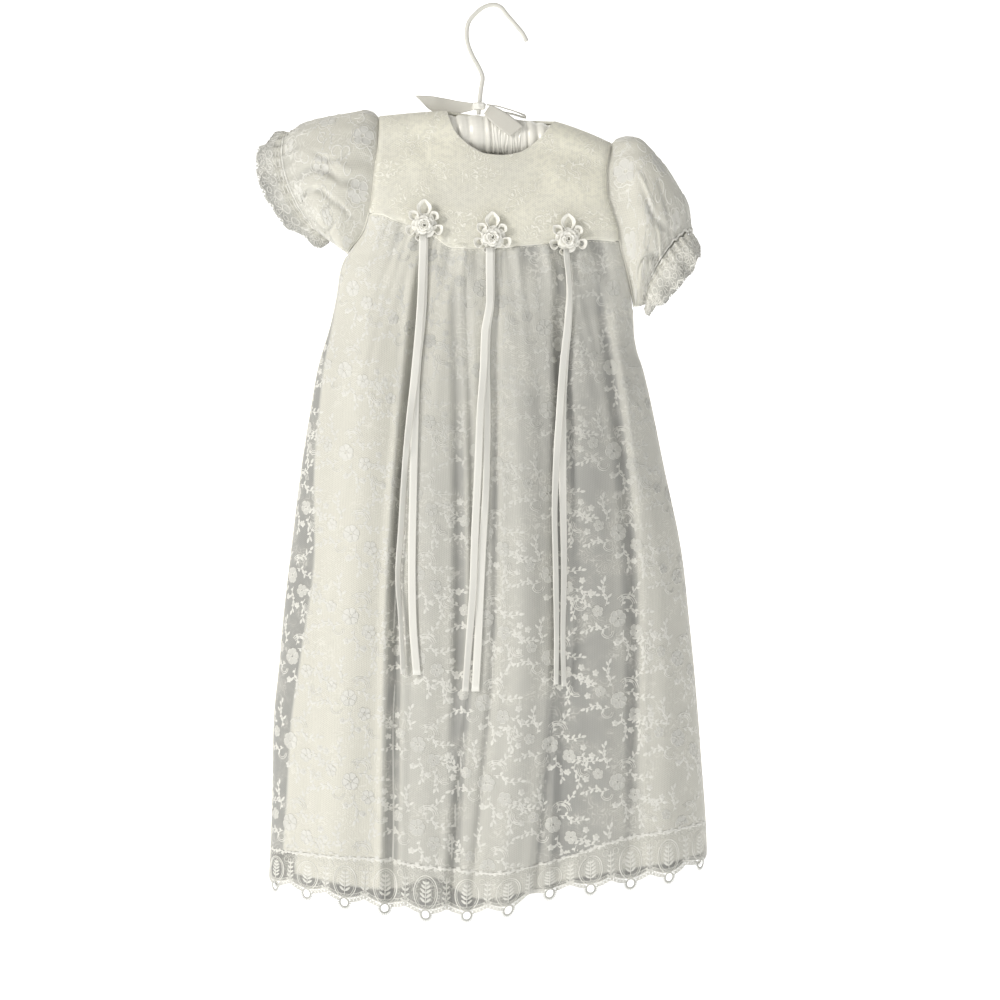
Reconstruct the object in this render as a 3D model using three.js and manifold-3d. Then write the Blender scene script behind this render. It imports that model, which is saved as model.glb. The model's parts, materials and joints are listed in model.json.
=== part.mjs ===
// A long baby gown with a yoke, puffed sleeves and a gathered lace skirt over a satin lining, hung on a padded hanger.
// Millimetres, +Z up, the front faces -Y. The origin is the inside of the hook's crown, where the hanger is held.
import * as THREE from "three";
import Module from "manifold-3d";

const wasm = await Module();
wasm.setup();

// Wall thicknesses and the gap left at every seam.
const YOKE_WALL = 1.4;
const CLOTH_WALL = 1.0;
const RIBBON_WALL = 1.0;
const SEAM_GAP = 0.4;
const HALF_GAP = 0.2;

// The yoke rolls over the bar within this height below the shoulder line.
const ROLL_HEIGHT = 19;
const ROLL_POWER = 0.45;
const BODY_POWER = 0.9;
const ROLL_FADE = 120;
const BACK_DEPTH = 0.86;
const BACK_FADE = 90;
const ARMHOLE_HALF = 15;
const ARMHOLE_POWER = 0.8;
const LINING_GAP = 0.6;
const LINING_HEM_GAP = 5;
const LINING_SIDE = 0.2;
const EDGE_FADE = 24;

// Outline of the body from the armhole down to the hem, left and right.
const LEFT_EDGE = [
  { z: -96, x: -98.5 },
  { z: -122, x: -99 },
  { z: -139, x: -101 },
  { z: -168, x: -104 },
  { z: -181, x: -107 },
  { z: -196, x: -112 },
  { z: -216, x: -126.6 },
  { z: -228, x: -132 },
  { z: -251, x: -135.5 },
  { z: -275, x: -140.5 },
  { z: -315, x: -152 },
  { z: -355, x: -159 },
  { z: -396, x: -165.6 },
  { z: -469, x: -174.8 },
  { z: -531, x: -182 },
  { z: -571, x: -185.5 },
  { z: -623, x: -190.5 },
  { z: -698, x: -192 },
  { z: -770, x: -195 },
];
const RIGHT_EDGE = [
  { z: -119, x: 102 },
  { z: -146, x: 97.5 },
  { z: -164, x: 98 },
  { z: -178, x: 102 },
  { z: -193, x: 106.5 },
  { z: -205.5, x: 108.5 },
  { z: -236, x: 116.5 },
  { z: -262, x: 121 },
  { z: -285, x: 122 },
  { z: -299, x: 124.4 },
  { z: -316, x: 130 },
  { z: -400, x: 148 },
  { z: -479, x: 164 },
  { z: -524, x: 169 },
  { z: -584, x: 175 },
  { z: -655, x: 180.6 },
  { z: -719, x: 185 },
  { z: -748, x: 185.8 },
];
// How much narrower the lining hangs than the lace over it.
const LINING_LEFT_IN = [
  { z: -181, x: 0 },
  { z: -260, x: 0.5 },
  { z: -310, x: 5 },
  { z: -396, x: 12 },
  { z: -500, x: 24 },
  { z: -567, x: 20 },
  { z: -653, x: 16 },
  { z: -755, x: 12 },
];
// The shoulder line, and the front neckline between the neck points.
const SHOULDER = [
  { x: -98.5, z: -96.3 },
  { x: -60, z: -92.8 },
  { x: -40.4, z: -91.8 },
  { x: -12, z: -91.6 },
  { x: 20, z: -95.2 },
  { x: 53, z: -100.8 },
  { x: 80, z: -109.8 },
  { x: 102, z: -119.4 },
];
const NECK_FRONT = [
  { x: -40.4, z: -91.8 },
  { x: -38, z: -99 },
  { x: -33, z: -110 },
  { x: -26, z: -118 },
  { x: -17, z: -125 },
  { x: -7, z: -130 },
  { x: 8, z: -131.5 },
  { x: 24, z: -129 },
  { x: 36, z: -120.5 },
  { x: 43, z: -114 },
  { x: 48, z: -107.5 },
  { x: 53, z: -100.8 },
];
const NECK_BACK_DROP = 3.5;
// The seam between yoke and skirt.
const YOKE_SEAM = [
  { x: -107, z: -181 },
  { x: -96, z: -182 },
  { x: -86, z: -186 },
  { x: -59, z: -195 },
  { x: -42, z: -203 },
  { x: -26, z: -211 },
  { x: 0, z: -212.5 },
  { x: 41, z: -208.6 },
  { x: 65, z: -207 },
  { x: 87, z: -204 },
  { x: 108.5, z: -205.5 },
];
// Half the depth of the body at a distance below the shoulder line.
const BODY_HALF = [
  { below: 0, half: 13 },
  { below: 20, half: 13.6 },
  { below: 45, half: 20 },
  { below: 90, half: 27 },
  { below: 170, half: 31 },
  { below: 300, half: 41 },
  { below: 500, half: 54 },
  { below: 680, half: 62 },
];
const ARMHOLES = {
  left: { top: -96, under: -216 },
  right: { top: -119, under: -262 },
};

// Long folds of the skirt: the ridge's place at the seam, at mid skirt and at the hem, its reach to either side there, how
// far it stands out, and how far below the seam it reaches its full height. A trough has a negative height.
const FRONT_FOLDS = [
  { seam: -98, mid: -121, hem: -136, left: 30, right: 34, out: 7.5, grow: 150 },
  { seam: -60, mid: -84, hem: -89, left: 9, right: 12, out: -5.5, grow: 90 },
  { seam: -44, mid: -56, hem: -60, left: 20, right: 18, out: 2.5, grow: 120 },
  { seam: -30, mid: -28, hem: -34, left: 10, right: 10, out: -4.5, grow: 80 },
  { seam: 18, mid: 27, hem: 8, left: 24, right: 30, out: 7, grow: 160 },
  { seam: 58, mid: 62, hem: 56, left: 9, right: 16, out: -4.5, grow: 110 },
  { seam: 66, mid: 92, hem: 98, left: 20, right: 20, out: 2.5, grow: 140 },
  { seam: 92, mid: 120, hem: 124, left: 12, right: 10, out: -4, grow: 120 },
  { seam: 100, mid: 143, hem: 152, left: 24, right: 24, out: 5, grow: 120 },
];
const BACK_FOLDS = [
  { seam: -80, mid: -128, hem: -140, left: 28, right: 30, out: 6, grow: 150 },
  { seam: -58, mid: -84, hem: -92, left: 14, right: 12, out: -5, grow: 100 },
  { seam: -36, mid: -42, hem: -50, left: 26, right: 24, out: 5.5, grow: 130 },
  { seam: -6, mid: -4, hem: 0, left: 12, right: 14, out: -5, grow: 90 },
  { seam: 26, mid: 40, hem: 44, left: 26, right: 28, out: 6.5, grow: 150 },
  { seam: 60, mid: 84, hem: 92, left: 14, right: 12, out: -5, grow: 110 },
  { seam: 84, mid: 126, hem: 138, left: 26, right: 24, out: 5.5, grow: 140 },
];
const FOLD_MID_Z = -515;
const FOLD_HEM_Z = -755;
const GATHER_SPREAD = 260;
// Gathers in the seam: place, reach, how far they stand out and how long they run down.
const FRONT_GATHERS = [
  { x: -94, reach: 7, out: 1.8, run: 60 },
  { x: -79, reach: 8, out: -1.8, run: 95 },
  { x: -66, reach: 6, out: 1.2, run: 45 },
  { x: -50, reach: 8, out: 1.9, run: 70 },
  { x: -37, reach: 7, out: -1.8, run: 60 },
  { x: -26, reach: 6, out: 2.2, run: 55 },
  { x: -14, reach: 7, out: -2.0, run: 50 },
  { x: 4, reach: 5, out: 2.0, run: 45 },
  { x: 12, reach: 5, out: -1.2, run: 35 },
  { x: 20, reach: 6, out: 2.2, run: 60 },
  { x: 31, reach: 9, out: -2.2, run: 55 },
  { x: 45, reach: 6, out: 2.0, run: 65 },
  { x: 57, reach: 7, out: -1.5, run: 50 },
  { x: 75, reach: 7, out: 1.9, run: 70 },
  { x: 88, reach: 9, out: -2.2, run: 75 },
  { x: 100, reach: 6, out: 1.5, run: 50 },
];
const BACK_GATHERS = [
  { x: -90, reach: 8, out: 2.0, run: 70 },
  { x: -70, reach: 9, out: -2.0, run: 60 },
  { x: -47, reach: 8, out: 2.2, run: 75 },
  { x: -26, reach: 8, out: -1.8, run: 50 },
  { x: -8, reach: 7, out: 1.8, run: 65 },
  { x: 16, reach: 8, out: 2.2, run: 60 },
  { x: 34, reach: 8, out: -2.0, run: 80 },
  { x: 56, reach: 9, out: 1.9, run: 55 },
  { x: 78, reach: 8, out: -1.8, run: 70 },
  { x: 95, reach: 7, out: 1.8, run: 60 },
];

// Where the skirt lace ends and its scalloped edging begins, where the scallops end, and the lining's hem.
const HEADING = [
  { x: -195, z: -730 },
  { x: -96, z: -734 },
  { x: -61, z: -739 },
  { x: 0, z: -744.5 },
  { x: 30, z: -740 },
  { x: 62, z: -732.5 },
  { x: 103, z: -719 },
  { x: 139, z: -713 },
  { x: 185, z: -707 },
];
const SCALLOP_BASE = [
  { x: -195, z: -757 },
  { x: -150, z: -764 },
  { x: -95, z: -773 },
  { x: -32, z: -779 },
  { x: 6, z: -775 },
  { x: 43, z: -761 },
  { x: 80, z: -757 },
  { x: 120, z: -753 },
  { x: 153, z: -748 },
  { x: 186, z: -737 },
];
const LINING_HEM = [
  { x: -183, z: -752 },
  { x: -146, z: -757 },
  { x: -98, z: -764 },
  { x: -50, z: -764 },
  { x: -11, z: -771 },
  { x: 24.5, z: -766 },
  { x: 60, z: -757 },
  { x: 94, z: -751 },
  { x: 131, z: -746 },
  { x: 183, z: -738 },
];
const SCALLOPS = 12;
const SCALLOP_RISE = 5;
// The columns of one scallop, as shares of its width; the picot ring hangs from the middle four.
const SCALLOP_COLUMNS = [0, 0.2, 0.378, 0.437, 0.563, 0.622, 0.8];
const RING_FIRST = 2;
const RING_LAST = 4;
const RING_HOLE_HEIGHT = 4.6;
const RING_FOOT_HEIGHT = 2.4;
const RING_PINCH = 0.022;

// The sleeves: the rings run from the armhole to the cuff, each hung on a chord from its top point to its foot.
const SLEEVES = {
  left: {
    side: "left",
    sign: -1,
    out: { x: -0.99, z: -0.12 },
    rings: [
      { v: 0, topX: -98.9, topZ: -96.4, footX: -127.2, footZ: -214.5, half: 15, front: -9, back: -9 },
      { v: 0.15, topX: -108, topZ: -90.4, footX: -129, footZ: -213, half: 21, front: -2, back: -4 },
      { v: 0.4, topX: -128, topZ: -92.8, footX: -132, footZ: -210.5, half: 27, front: 6, back: 2 },
      { v: 0.62, topX: -147, topZ: -96.5, footX: -135.5, footZ: -207, half: 28, front: 12, back: 6 },
      { v: 0.82, topX: -163.6, topZ: -102, footX: -138.5, footZ: -203.5, half: 24, front: 17, back: 8 },
      { v: 1, topX: -175.5, topZ: -110, footX: -141, footZ: -200, half: 18, front: 19, back: 8 },
    ],
    lace: [
      { v: 0, topX: -175.8, topZ: -110.1, footX: -141.3, footZ: -200.1, half: 18, front: 19.3, back: 8.3 },
      { v: 0.4, topX: -180, topZ: -109.5, footX: -142, footZ: -203.5, half: 21, front: 27, back: 14 },
      { v: 1, topX: -185.5, topZ: -112, footX: -143, footZ: -208, half: 25, front: 35, back: 20 },
    ],
    creases: [
      { h: 0.47, v: 0.55, reachH: 0.035, reachV: 0.5, deep: 2.4 },
      { h: 0.64, v: 0.75, reachH: 0.03, reachV: 0.35, deep: 2.2 },
      { h: 0.25, v: 0.9, reachH: 0.05, reachV: 0.2, deep: 1.6 },
    ],
  },
  right: {
    side: "right",
    sign: 1,
    out: { x: 0.78, z: -0.625 },
    rings: [
      { v: 0, topX: 102.4, topZ: -119.5, footX: 121.7, footZ: -260.5, half: 15, front: 9, back: 9 },
      { v: 0.13, topX: 110, topZ: -113.4, footX: 123, footZ: -260.5, half: 21, front: 4, back: 6 },
      { v: 0.28, topX: 124, topZ: -114, footX: 125, footZ: -260.5, half: 26, front: 0, back: 3 },
      { v: 0.5, topX: 143, topZ: -130, footX: 127.5, footZ: -260, half: 28, front: -3, back: 0 },
      { v: 0.7, topX: 158.5, topZ: -152, footX: 130, footZ: -259.5, half: 26, front: -6, back: -2 },
      { v: 0.87, topX: 170.5, topZ: -176, footX: 132, footZ: -258.5, half: 22, front: -9, back: -4 },
      { v: 1, topX: 173.5, topZ: -197, footX: 133.5, footZ: -257.5, half: 18, front: -11, back: -5 },
    ],
    lace: [
      { v: 0, topX: 174.2, topZ: -197.9, footX: 133.7, footZ: -257.8, half: 18, front: -10.7, back: -4.7 },
      { v: 0.4, topX: 177, topZ: -203, footX: 133, footZ: -260.5, half: 21, front: -3, back: 2 },
      { v: 1, topX: 179.5, topZ: -211.5, footX: 131.5, footZ: -265.5, half: 25, front: 8, back: 9 },
    ],
    creases: [
      { h: 0.35, v: 0.6, reachH: 0.05, reachV: 0.35, deep: 2.0 },
      { h: 0.6, v: 0.8, reachH: 0.04, reachV: 0.3, deep: 2.0 },
    ],
  },
};
const SLEEVE_AROUND = 26;
const SLEEVE_ALONG = 8;
const SLEEVE_JOIN = 0.22;
const CAP_GATHERS = 15;
const CUFF_GATHERS = 12;
const CAP_GATHER_OUT = 1.1;
const CUFF_GATHER_OUT = 1.3;
const RUFFLE_WAVES = 9;
const RUFFLE_OUT = 3.2;
const RUFFLE_SCALLOPS = 12;
const RUFFLE_SCALLOP_DEEP = 2.6;
const RUFFLE_AROUND = 44;
const RUFFLE_ROWS = 2;

// Ribbon rosettes on the seam, and the loops round each rose: direction from the rose, length, width and lean.
const ROSETTES = [
  { name: "rosette_left", x: -59, z: -192.6 },
  { name: "rosette_middle", x: -0.4, z: -203.4 },
  { name: "rosette_right", x: 64.8, z: -204.7 },
];
const ROSE_RINGS = [
  { y: 0, radius: 8.5, turn: 0 },
  { y: -1.6, radius: 10.6, turn: 0.1 },
  { y: -3.6, radius: 9.9, turn: 0.3 },
  { y: -5.8, radius: 6.8, turn: 0.7 },
  { y: -7.4, radius: 2.8, turn: 1.2 },
];
const ROSE_SIDES = 15;
const ROSE_LOBES = 5;
const ROSE_LOBE_OUT = 0.09;
const ROSE_LOOPS = [
  { angle: 90, from: 6, long: 15.5, wide: 6.4, pointed: 1 },
  { angle: 138, from: 6, long: 10.5, wide: 4.4, pointed: 1 },
  { angle: 42, from: 6.5, long: 8, wide: 4.2, pointed: 0.5 },
  { angle: 200, from: 6, long: 9.5, wide: 4.6, pointed: 0 },
  { angle: 342, from: 6, long: 9.5, wide: 4.6, pointed: 0 },
  { angle: 250, from: 6, long: 7.5, wide: 3.8, pointed: 0 },
];
const LOOP_BAND = 4.6;
const LOOP_STEPS = 6;

// Streamers: how far round itself the ribbon is borne by the skirt, the middle of the ribbon down its length, and its turn
// about its own line in degrees. The second of a pair
// lies on the first where they cross.
const STREAMER_WIDTH = 6.5;
const STREAMERS = [
  {
    name: "streamer_left_1",
    reach: 4,
    rows: [
      { x: -59, z: -208.5, turn: -8 },
      { x: -60.2, z: -258, turn: 0 },
      { x: -66, z: -326, turn: 0 },
      { x: -67, z: -361, turn: 10 },
      { x: -68.2, z: -416, turn: 8 },
      { x: -69.3, z: -488, turn: 0 },
      { x: -68.4, z: -532, turn: 0 },
      { x: -64.8, z: -578, turn: 5 },
    ],
  },
  {
    name: "streamer_left_2",
    reach: 4,
    over: true,
    rows: [
      { x: -60.2, z: -208.5, turn: 12 },
      { x: -62, z: -258, turn: 18 },
      { x: -67.5, z: -326, turn: 8 },
      { x: -71.5, z: -361, turn: 30 },
      { x: -75, z: -396, turn: 42 },
      { x: -78.5, z: -453, turn: 40 },
      { x: -81.3, z: -495, turn: 52 },
      { x: -78.8, z: -532, turn: 60 },
      { x: -76.5, z: -577, turn: 52 },
    ],
  },
  {
    name: "streamer_middle_1",
    reach: 4,
    rows: [
      { x: -1.6, z: -219.5, turn: -10 },
      { x: -2, z: -257, turn: -8 },
      { x: -5.5, z: -286, turn: 0 },
      { x: -6, z: -314, turn: 0 },
      { x: -5, z: -357, turn: 30 },
      { x: -6, z: -417, turn: 30 },
      { x: -8.5, z: -460, turn: 8 },
      { x: -11, z: -510, turn: 0 },
      { x: -12.5, z: -546, turn: 0 },
      { x: -15, z: -592, turn: 0 },
    ],
  },
  {
    name: "streamer_middle_2",
    reach: 4,
    over: true,
    rows: [
      { x: -3, z: -219.5, turn: 10 },
      { x: -2.8, z: -257, turn: 16 },
      { x: -7, z: -286, turn: 8 },
      { x: -8, z: -314, turn: 12 },
      { x: -11, z: -357, turn: 20 },
      { x: -12.8, z: -404, turn: 10 },
      { x: -15.5, z: -460, turn: 12 },
      { x: -17, z: -504, turn: 20 },
      { x: -20.2, z: -546, turn: 30 },
      { x: -23.6, z: -592, turn: 35 },
    ],
  },
  {
    name: "streamer_right_1",
    reach: 6.2,
    rows: [
      { x: 63.6, z: -220.5, turn: 50 },
      { x: 65.6, z: -251, turn: 40 },
      { x: 64.6, z: -275, turn: 10 },
      { x: 61.5, z: -312, turn: 0 },
      { x: 59.5, z: -357, turn: 0 },
      { x: 59.5, z: -400, turn: 10 },
      { x: 60, z: -440, turn: 25 },
      { x: 60.6, z: -488, turn: 40 },
      { x: 59.5, z: -546, turn: 50 },
      { x: 60.5, z: -588, turn: 52 },
    ],
  },
  {
    name: "streamer_right_2",
    reach: 6.2,
    over: true,
    rows: [
      { x: 62.5, z: -220.5, turn: 55 },
      { x: 65.4, z: -251, turn: 62 },
      { x: 64.2, z: -275, turn: 30 },
      { x: 60.2, z: -312, turn: 25 },
      { x: 57, z: -357, turn: 15 },
      { x: 54, z: -400, turn: 30 },
      { x: 52.5, z: -440, turn: 45 },
      { x: 53.4, z: -488, turn: 45 },
      { x: 54, z: -546, turn: 52 },
      { x: 53.6, z: -586, turn: 55 },
    ],
  },
];

// The hanger: the wrapped wire of the hook from the bar to its tip, and the padded bar.
const HOOK_RADIUS = 1.9;
const HOOK_SIDES = 7;
const HOOK_STEPS = 28;
const HOOK_LINE = [
  { x: -12.7, z: -91 },
  { x: -10.6, z: -72 },
  { x: -9.2, z: -61 },
  { x: -12.7, z: -52 },
  { x: -17.7, z: -43 },
  { x: -21.7, z: -33 },
  { x: -23, z: -23 },
  { x: -21, z: -13 },
  { x: -15, z: -5.6 },
  { x: -8.4, z: -0.4 },
  { x: 0, z: 1.9 },
  { x: 6, z: 0.2 },
  { x: 12.2, z: -7 },
  { x: 20, z: -16 },
  { x: 26, z: -23.5 },
  { x: 29.3, z: -30 },
];
const BAR_CLEAR = 0.9;
const BAR_ENDS = { left: -91, right: 95 };
const BAR_ROUND = 16;
const BAR_HALF = [
  { x: -91, high: 11, deep: 7.2 },
  { x: -60, high: 14.5, deep: 8.8 },
  { x: -40, high: 16, deep: 8.8 },
  { x: -12, high: 17, deep: 10.2 },
  { x: 40, high: 16, deep: 10 },
  { x: 95, high: 11, deep: 7.2 },
];
const BAR_STATIONS = 22;
const BAR_SIDES = 12;
const KNOT = { x: -12.4, z: -86.4, inner: 2.7, outer: 5.6, high: 6.2 };
const KNOT_SIDES = 12;
// The bow's ends and loop: the middle of the ribbon along its length and its half width as a vector.
const BOW_TAIL_LEFT = [
  { x: -17.6, y: 3.0, z: -86.4, wx: 0.3, wy: 0, wz: 3.0 },
  { x: -28, y: 5.2, z: -86.6, wx: 0.3, wy: 0, wz: 5.0 },
  { x: -40, y: 6.2, z: -85, wx: 0.2, wy: 0.8, wz: 6.0 },
  { x: -52, y: 5.0, z: -83.8, wx: -0.5, wy: -0.8, wz: 6.6 },
  { x: -63, y: 3.4, z: -81.6, wx: -5.2, wy: -0.6, wz: 5.0 },
];
const BOW_TAIL_RIGHT = [
  { x: -5.4, z: -89.4, wx: 2.6, wz: 3.6 },
  { x: 1, z: -94.8, wx: 4.4, wz: 4.8 },
  { x: 8, z: -100.2, wx: 5.4, wz: 5.2 },
  { x: 14.5, z: -105.2, wx: 5.6, wz: 5.0 },
  { x: 20.5, z: -109.4, wx: 5.6, wz: 4.4 },
];
const BOW_LOOP = [
  { x: -5.6, y: 4.2, z: -84.6, wx: 0, wy: 3.4, wz: 0 },
  { x: 3, y: 4.2, z: -85.8, wx: 0, wy: 5.4, wz: 0.4 },
  { x: 13, y: 4.2, z: -88.6, wx: 0, wy: 6.4, wz: 0.5 },
  { x: 22, y: 4.2, z: -91.6, wx: 0, wy: 6.6, wz: 0.4 },
  { x: 27.6, y: 4.2, z: -94.2, wx: 0, wy: 6.4, wz: 0 },
  { x: 28.6, y: 4.2, z: -95.8, wx: 0, wy: 6.2, wz: 0 },
  { x: 26, y: 4.2, z: -95.4, wx: 0, wy: 6.2, wz: 0 },
  { x: 18, y: 4.2, z: -93, wx: 0, wy: 6.2, wz: 0 },
  { x: 6, y: 4.2, z: -90.6, wx: 0, wy: 5.2, wz: 0 },
  { x: -5.6, y: 4.2, z: -88.6, wx: 0, wy: 3.4, wz: 0 },
];
const BOW_LOOP_CLEAR = 0.9;
const TAIL_CLEAR = 1.3;
const BUTTONS = [
  { name: "back_button_1", z: -104 },
  { name: "back_button_2", z: -140 },
  { name: "back_button_3", z: -180 },
];
const BUTTON_RADIUS = 4.6;
const BUTTON_HIGH = 2.2;
const BUTTON_SIDES = 12;

// Small helpers for numbers and tables.
const clamp = (value, low, high) => Math.min(high, Math.max(low, value));
const mix = (a, b, share) => a + (b - a) * share;
const smooth = (value) => {
  const t = clamp(value, 0, 1);
  return t * t * (3 - 2 * t);
};
const bump = (value) => (Math.abs(value) < 1 ? 0.5 * (1 + Math.cos(Math.PI * value)) : 0);

// A smooth curve through the rows of a table, level beyond its ends and without overshoot.
function through(rows, key, column) {
  const sorted = [...rows].sort((a, b) => a[key] - b[key]);
  const at = sorted.map((row) => row[key]);
  const to = sorted.map((row) => row[column]);
  const rise = at.slice(1).map((value, i) => (to[i + 1] - to[i]) / (value - at[i]));
  const slope = at.map((_, i) => {
    if (i === 0) return rise[0];
    if (i === at.length - 1) return rise[i - 1];
    const before = rise[i - 1];
    const after = rise[i];
    return before * after <= 0 ? 0 : (2 * before * after) / (before + after);
  });
  return (value) => {
    const v = clamp(value, at[0], at[at.length - 1]);
    let i = 0;
    while (i < at.length - 2 && v > at[i + 1]) i += 1;
    const span = at[i + 1] - at[i];
    const t = (v - at[i]) / span;
    const t2 = t * t;
    const t3 = t2 * t;
    return (
      to[i] * (2 * t3 - 3 * t2 + 1) +
      slope[i] * span * (t3 - 2 * t2 + t) +
      to[i + 1] * (3 * t2 - 2 * t3) +
      slope[i + 1] * span * (t3 - t2)
    );
  };
}

const leftEdge = through(LEFT_EDGE, "z", "x");
const rightEdge = through(RIGHT_EDGE, "z", "x");
const liningLeftIn = through(LINING_LEFT_IN, "z", "x");
const shoulder = through(SHOULDER, "x", "z");
const neckFront = through(NECK_FRONT, "x", "z");
const yokeSeam = through(YOKE_SEAM, "x", "z");
const bodyHalf = through(BODY_HALF, "below", "half");
const heading = through(HEADING, "x", "z");
const scallopBase = through(SCALLOP_BASE, "x", "z");
const liningHem = through(LINING_HEM, "x", "z");

// Half the opening of an armhole at a height.
function armholeHalf(side, z) {
  const { top, under } = ARMHOLES[side];
  const share = clamp((top - z) / (top - under), 0, 1);
  return ARMHOLE_HALF * Math.pow(Math.sin(Math.PI * share), ARMHOLE_POWER);
}

// How far the cloth has rolled out from the shoulder line at a distance below it.
function roll(below) {
  const t = clamp(below / ROLL_HEIGHT, 0, 1);
  return Math.sqrt(1 - (1 - t) * (1 - t));
}

// Half the depth of the body at a place, without its folds.
function lensHalf(x, z) {
  const left = leftEdge(z);
  const right = rightEdge(z);
  const u = clamp((x - left) / (right - left), 0, 1);
  const below = Math.max(0, shoulder(x) - z);
  const edge = mix(armholeHalf("left", z), armholeHalf("right", z), u);
  const crown = bodyHalf(below);
  const power = mix(ROLL_POWER, BODY_POWER, smooth(below / ROLL_FADE));
  const lens = Math.pow(2 * Math.sqrt(u * (1 - u)), power);
  return HALF_GAP + roll(below) * (edge + (crown - edge) * lens);
}

// The ridge line of a long fold, from the seam to the hem.
function foldLine(fold) {
  const rows = [
    { z: yokeSeam(fold.seam), x: fold.seam },
    { z: FOLD_MID_Z, x: fold.mid },
    { z: FOLD_HEM_Z, x: fold.hem },
  ];
  return { ...fold, line: through(rows, "z", "x") };
}

const frontFolds = FRONT_FOLDS.map(foldLine);
const backFolds = BACK_FOLDS.map(foldLine);

// The folds and gathers of a face of the skirt at a place, outwards.
function foldOut(x, z, folds, gathers) {
  const down = yokeSeam(x) - z;
  if (down < 0) return 0;
  const fade = smooth(Math.min(x - leftEdge(z), rightEdge(z) - x) / EDGE_FADE);
  let out = 0;
  for (const fold of folds) {
    const away = x - fold.line(z);
    out += fold.out * smooth(down / fold.grow) * bump(away / (away < 0 ? fold.left : fold.right));
  }
  for (const gather of gathers) {
    const share = clamp(1 - down / gather.run, 0, 1);
    out += gather.out * smooth(share) * bump((x / (1 + down / GATHER_SPREAD) - gather.x) / gather.reach);
  }
  return out * fade;
}

function frontY(x, z) {
  return -(lensHalf(x, z) + foldOut(x, z, frontFolds, FRONT_GATHERS));
}

function backY(x, z) {
  const share = mix(1, BACK_DEPTH, smooth((shoulder(x) - z) / BACK_FADE));
  return lensHalf(x, z) * share + foldOut(x, z, backFolds, BACK_GATHERS);
}

// The share across the body at a share of the way along the lens's own outline, so that columns are evenly spaced on it.
const across = (() => {
  const steps = 400;
  const flat = bodyHalf(700) / 190;
  const shares = [0];
  for (let i = 1; i <= steps; i += 1) {
    const a = (Math.PI * (i - 1)) / steps;
    const b = (Math.PI * i) / steps;
    const dx = Math.cos(a) - Math.cos(b);
    const dy = (Math.sin(b) - Math.sin(a)) * flat;
    shares.push(shares[i - 1] + Math.hypot(dx, dy));
  }
  const total = shares[steps];
  return (share) => {
    const wanted = clamp(share, 0, 1) * total;
    let i = 0;
    while (i < steps - 1 && shares[i + 1] < wanted) i += 1;
    const part = (wanted - shares[i]) / (shares[i + 1] - shares[i]);
    return (1 - Math.cos((Math.PI * (i + part)) / steps)) / 2;
  };
})();

// A closed solid from positions and faces, turned the right way out.
function solidGeometry(points, faces) {
  let volume = 0;
  for (const [a, b, c] of faces) volume += points[a].dot(points[b].clone().cross(points[c]));
  const index = volume < 0 ? faces.flatMap(([a, b, c]) => [a, c, b]) : faces.flat();
  const geometry = new THREE.BufferGeometry();
  geometry.setAttribute("position", new THREE.Float32BufferAttribute(points.flatMap((p) => [p.x, p.y, p.z]), 3));
  geometry.setIndex(index);
  return geometry;
}

// A grid of points, and the way into the cloth at each of them. facing is +1 where the columns crossed with the rows
// point inwards.
function gridOf({ columns, rows, point, facing = 1, round = false }) {
  const wide = round ? columns : columns + 1;
  const points = [];
  for (let j = 0; j <= rows; j += 1) {
    for (let i = 0; i < wide; i += 1) points.push(point(i, j));
  }
  const id = (i, j) => j * wide + (round ? (i + columns) % columns : clamp(i, 0, columns));
  const at = (i, j) => points[id(i, clamp(j, 0, rows))];
  const inward = (i, j) => {
    const along = at(i + 1, j).clone().sub(at(i - 1, j));
    const down = at(i, j + 1).clone().sub(at(i, j - 1));
    return along.cross(down).normalize().multiplyScalar(facing);
  };
  return { points, wide, id, at, inward };
}

// A sheet of cloth as a solid: a grid of points on its outer face, moved inwards by its thickness, with walls round every
// edge and every cell left open. middle keeps the inner face on its own side of the gown's middle plane.
function sheetGeometry({ columns, rows, point, wall, facing = 1, keep = () => true, round = false, middle = 0 }) {
  const { points: outer, wide, id, inward } = gridOf({ columns, rows, point, facing, round });
  const inner = outer.map((p, k) => {
    const moved = p.clone().addScaledVector(inward(k % wide, Math.floor(k / wide)), wall);
    if (middle < 0) moved.y = Math.min(moved.y, -HALF_GAP);
    if (middle > 0) moved.y = Math.max(moved.y, HALF_GAP);
    return moved;
  });
  const points = [...outer, ...inner];
  const shift = outer.length;
  const kept = (i, j) => {
    if (j < 0 || j >= rows) return false;
    if (!round && (i < 0 || i >= columns)) return false;
    return keep(round ? (i + columns) % columns : i, j);
  };
  const faces = [];
  for (let j = 0; j < rows; j += 1) {
    for (let i = 0; i < columns; i += 1) {
      if (!kept(i, j)) continue;
      const a = id(i, j);
      const b = id(i + 1, j);
      const c = id(i + 1, j + 1);
      const d = id(i, j + 1);
      faces.push([a, d, c], [a, c, b]);
      faces.push([a + shift, c + shift, d + shift], [a + shift, b + shift, c + shift]);
      const sides = [
        [a, d, kept(i - 1, j)],
        [d, c, kept(i, j + 1)],
        [c, b, kept(i + 1, j)],
        [b, a, kept(i, j - 1)],
      ];
      for (const [p, q, joined] of sides) {
        if (!joined) faces.push([q, p, p + shift], [q, p + shift, q + shift]);
      }
    }
  }
  return solidGeometry(points, faces);
}

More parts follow.
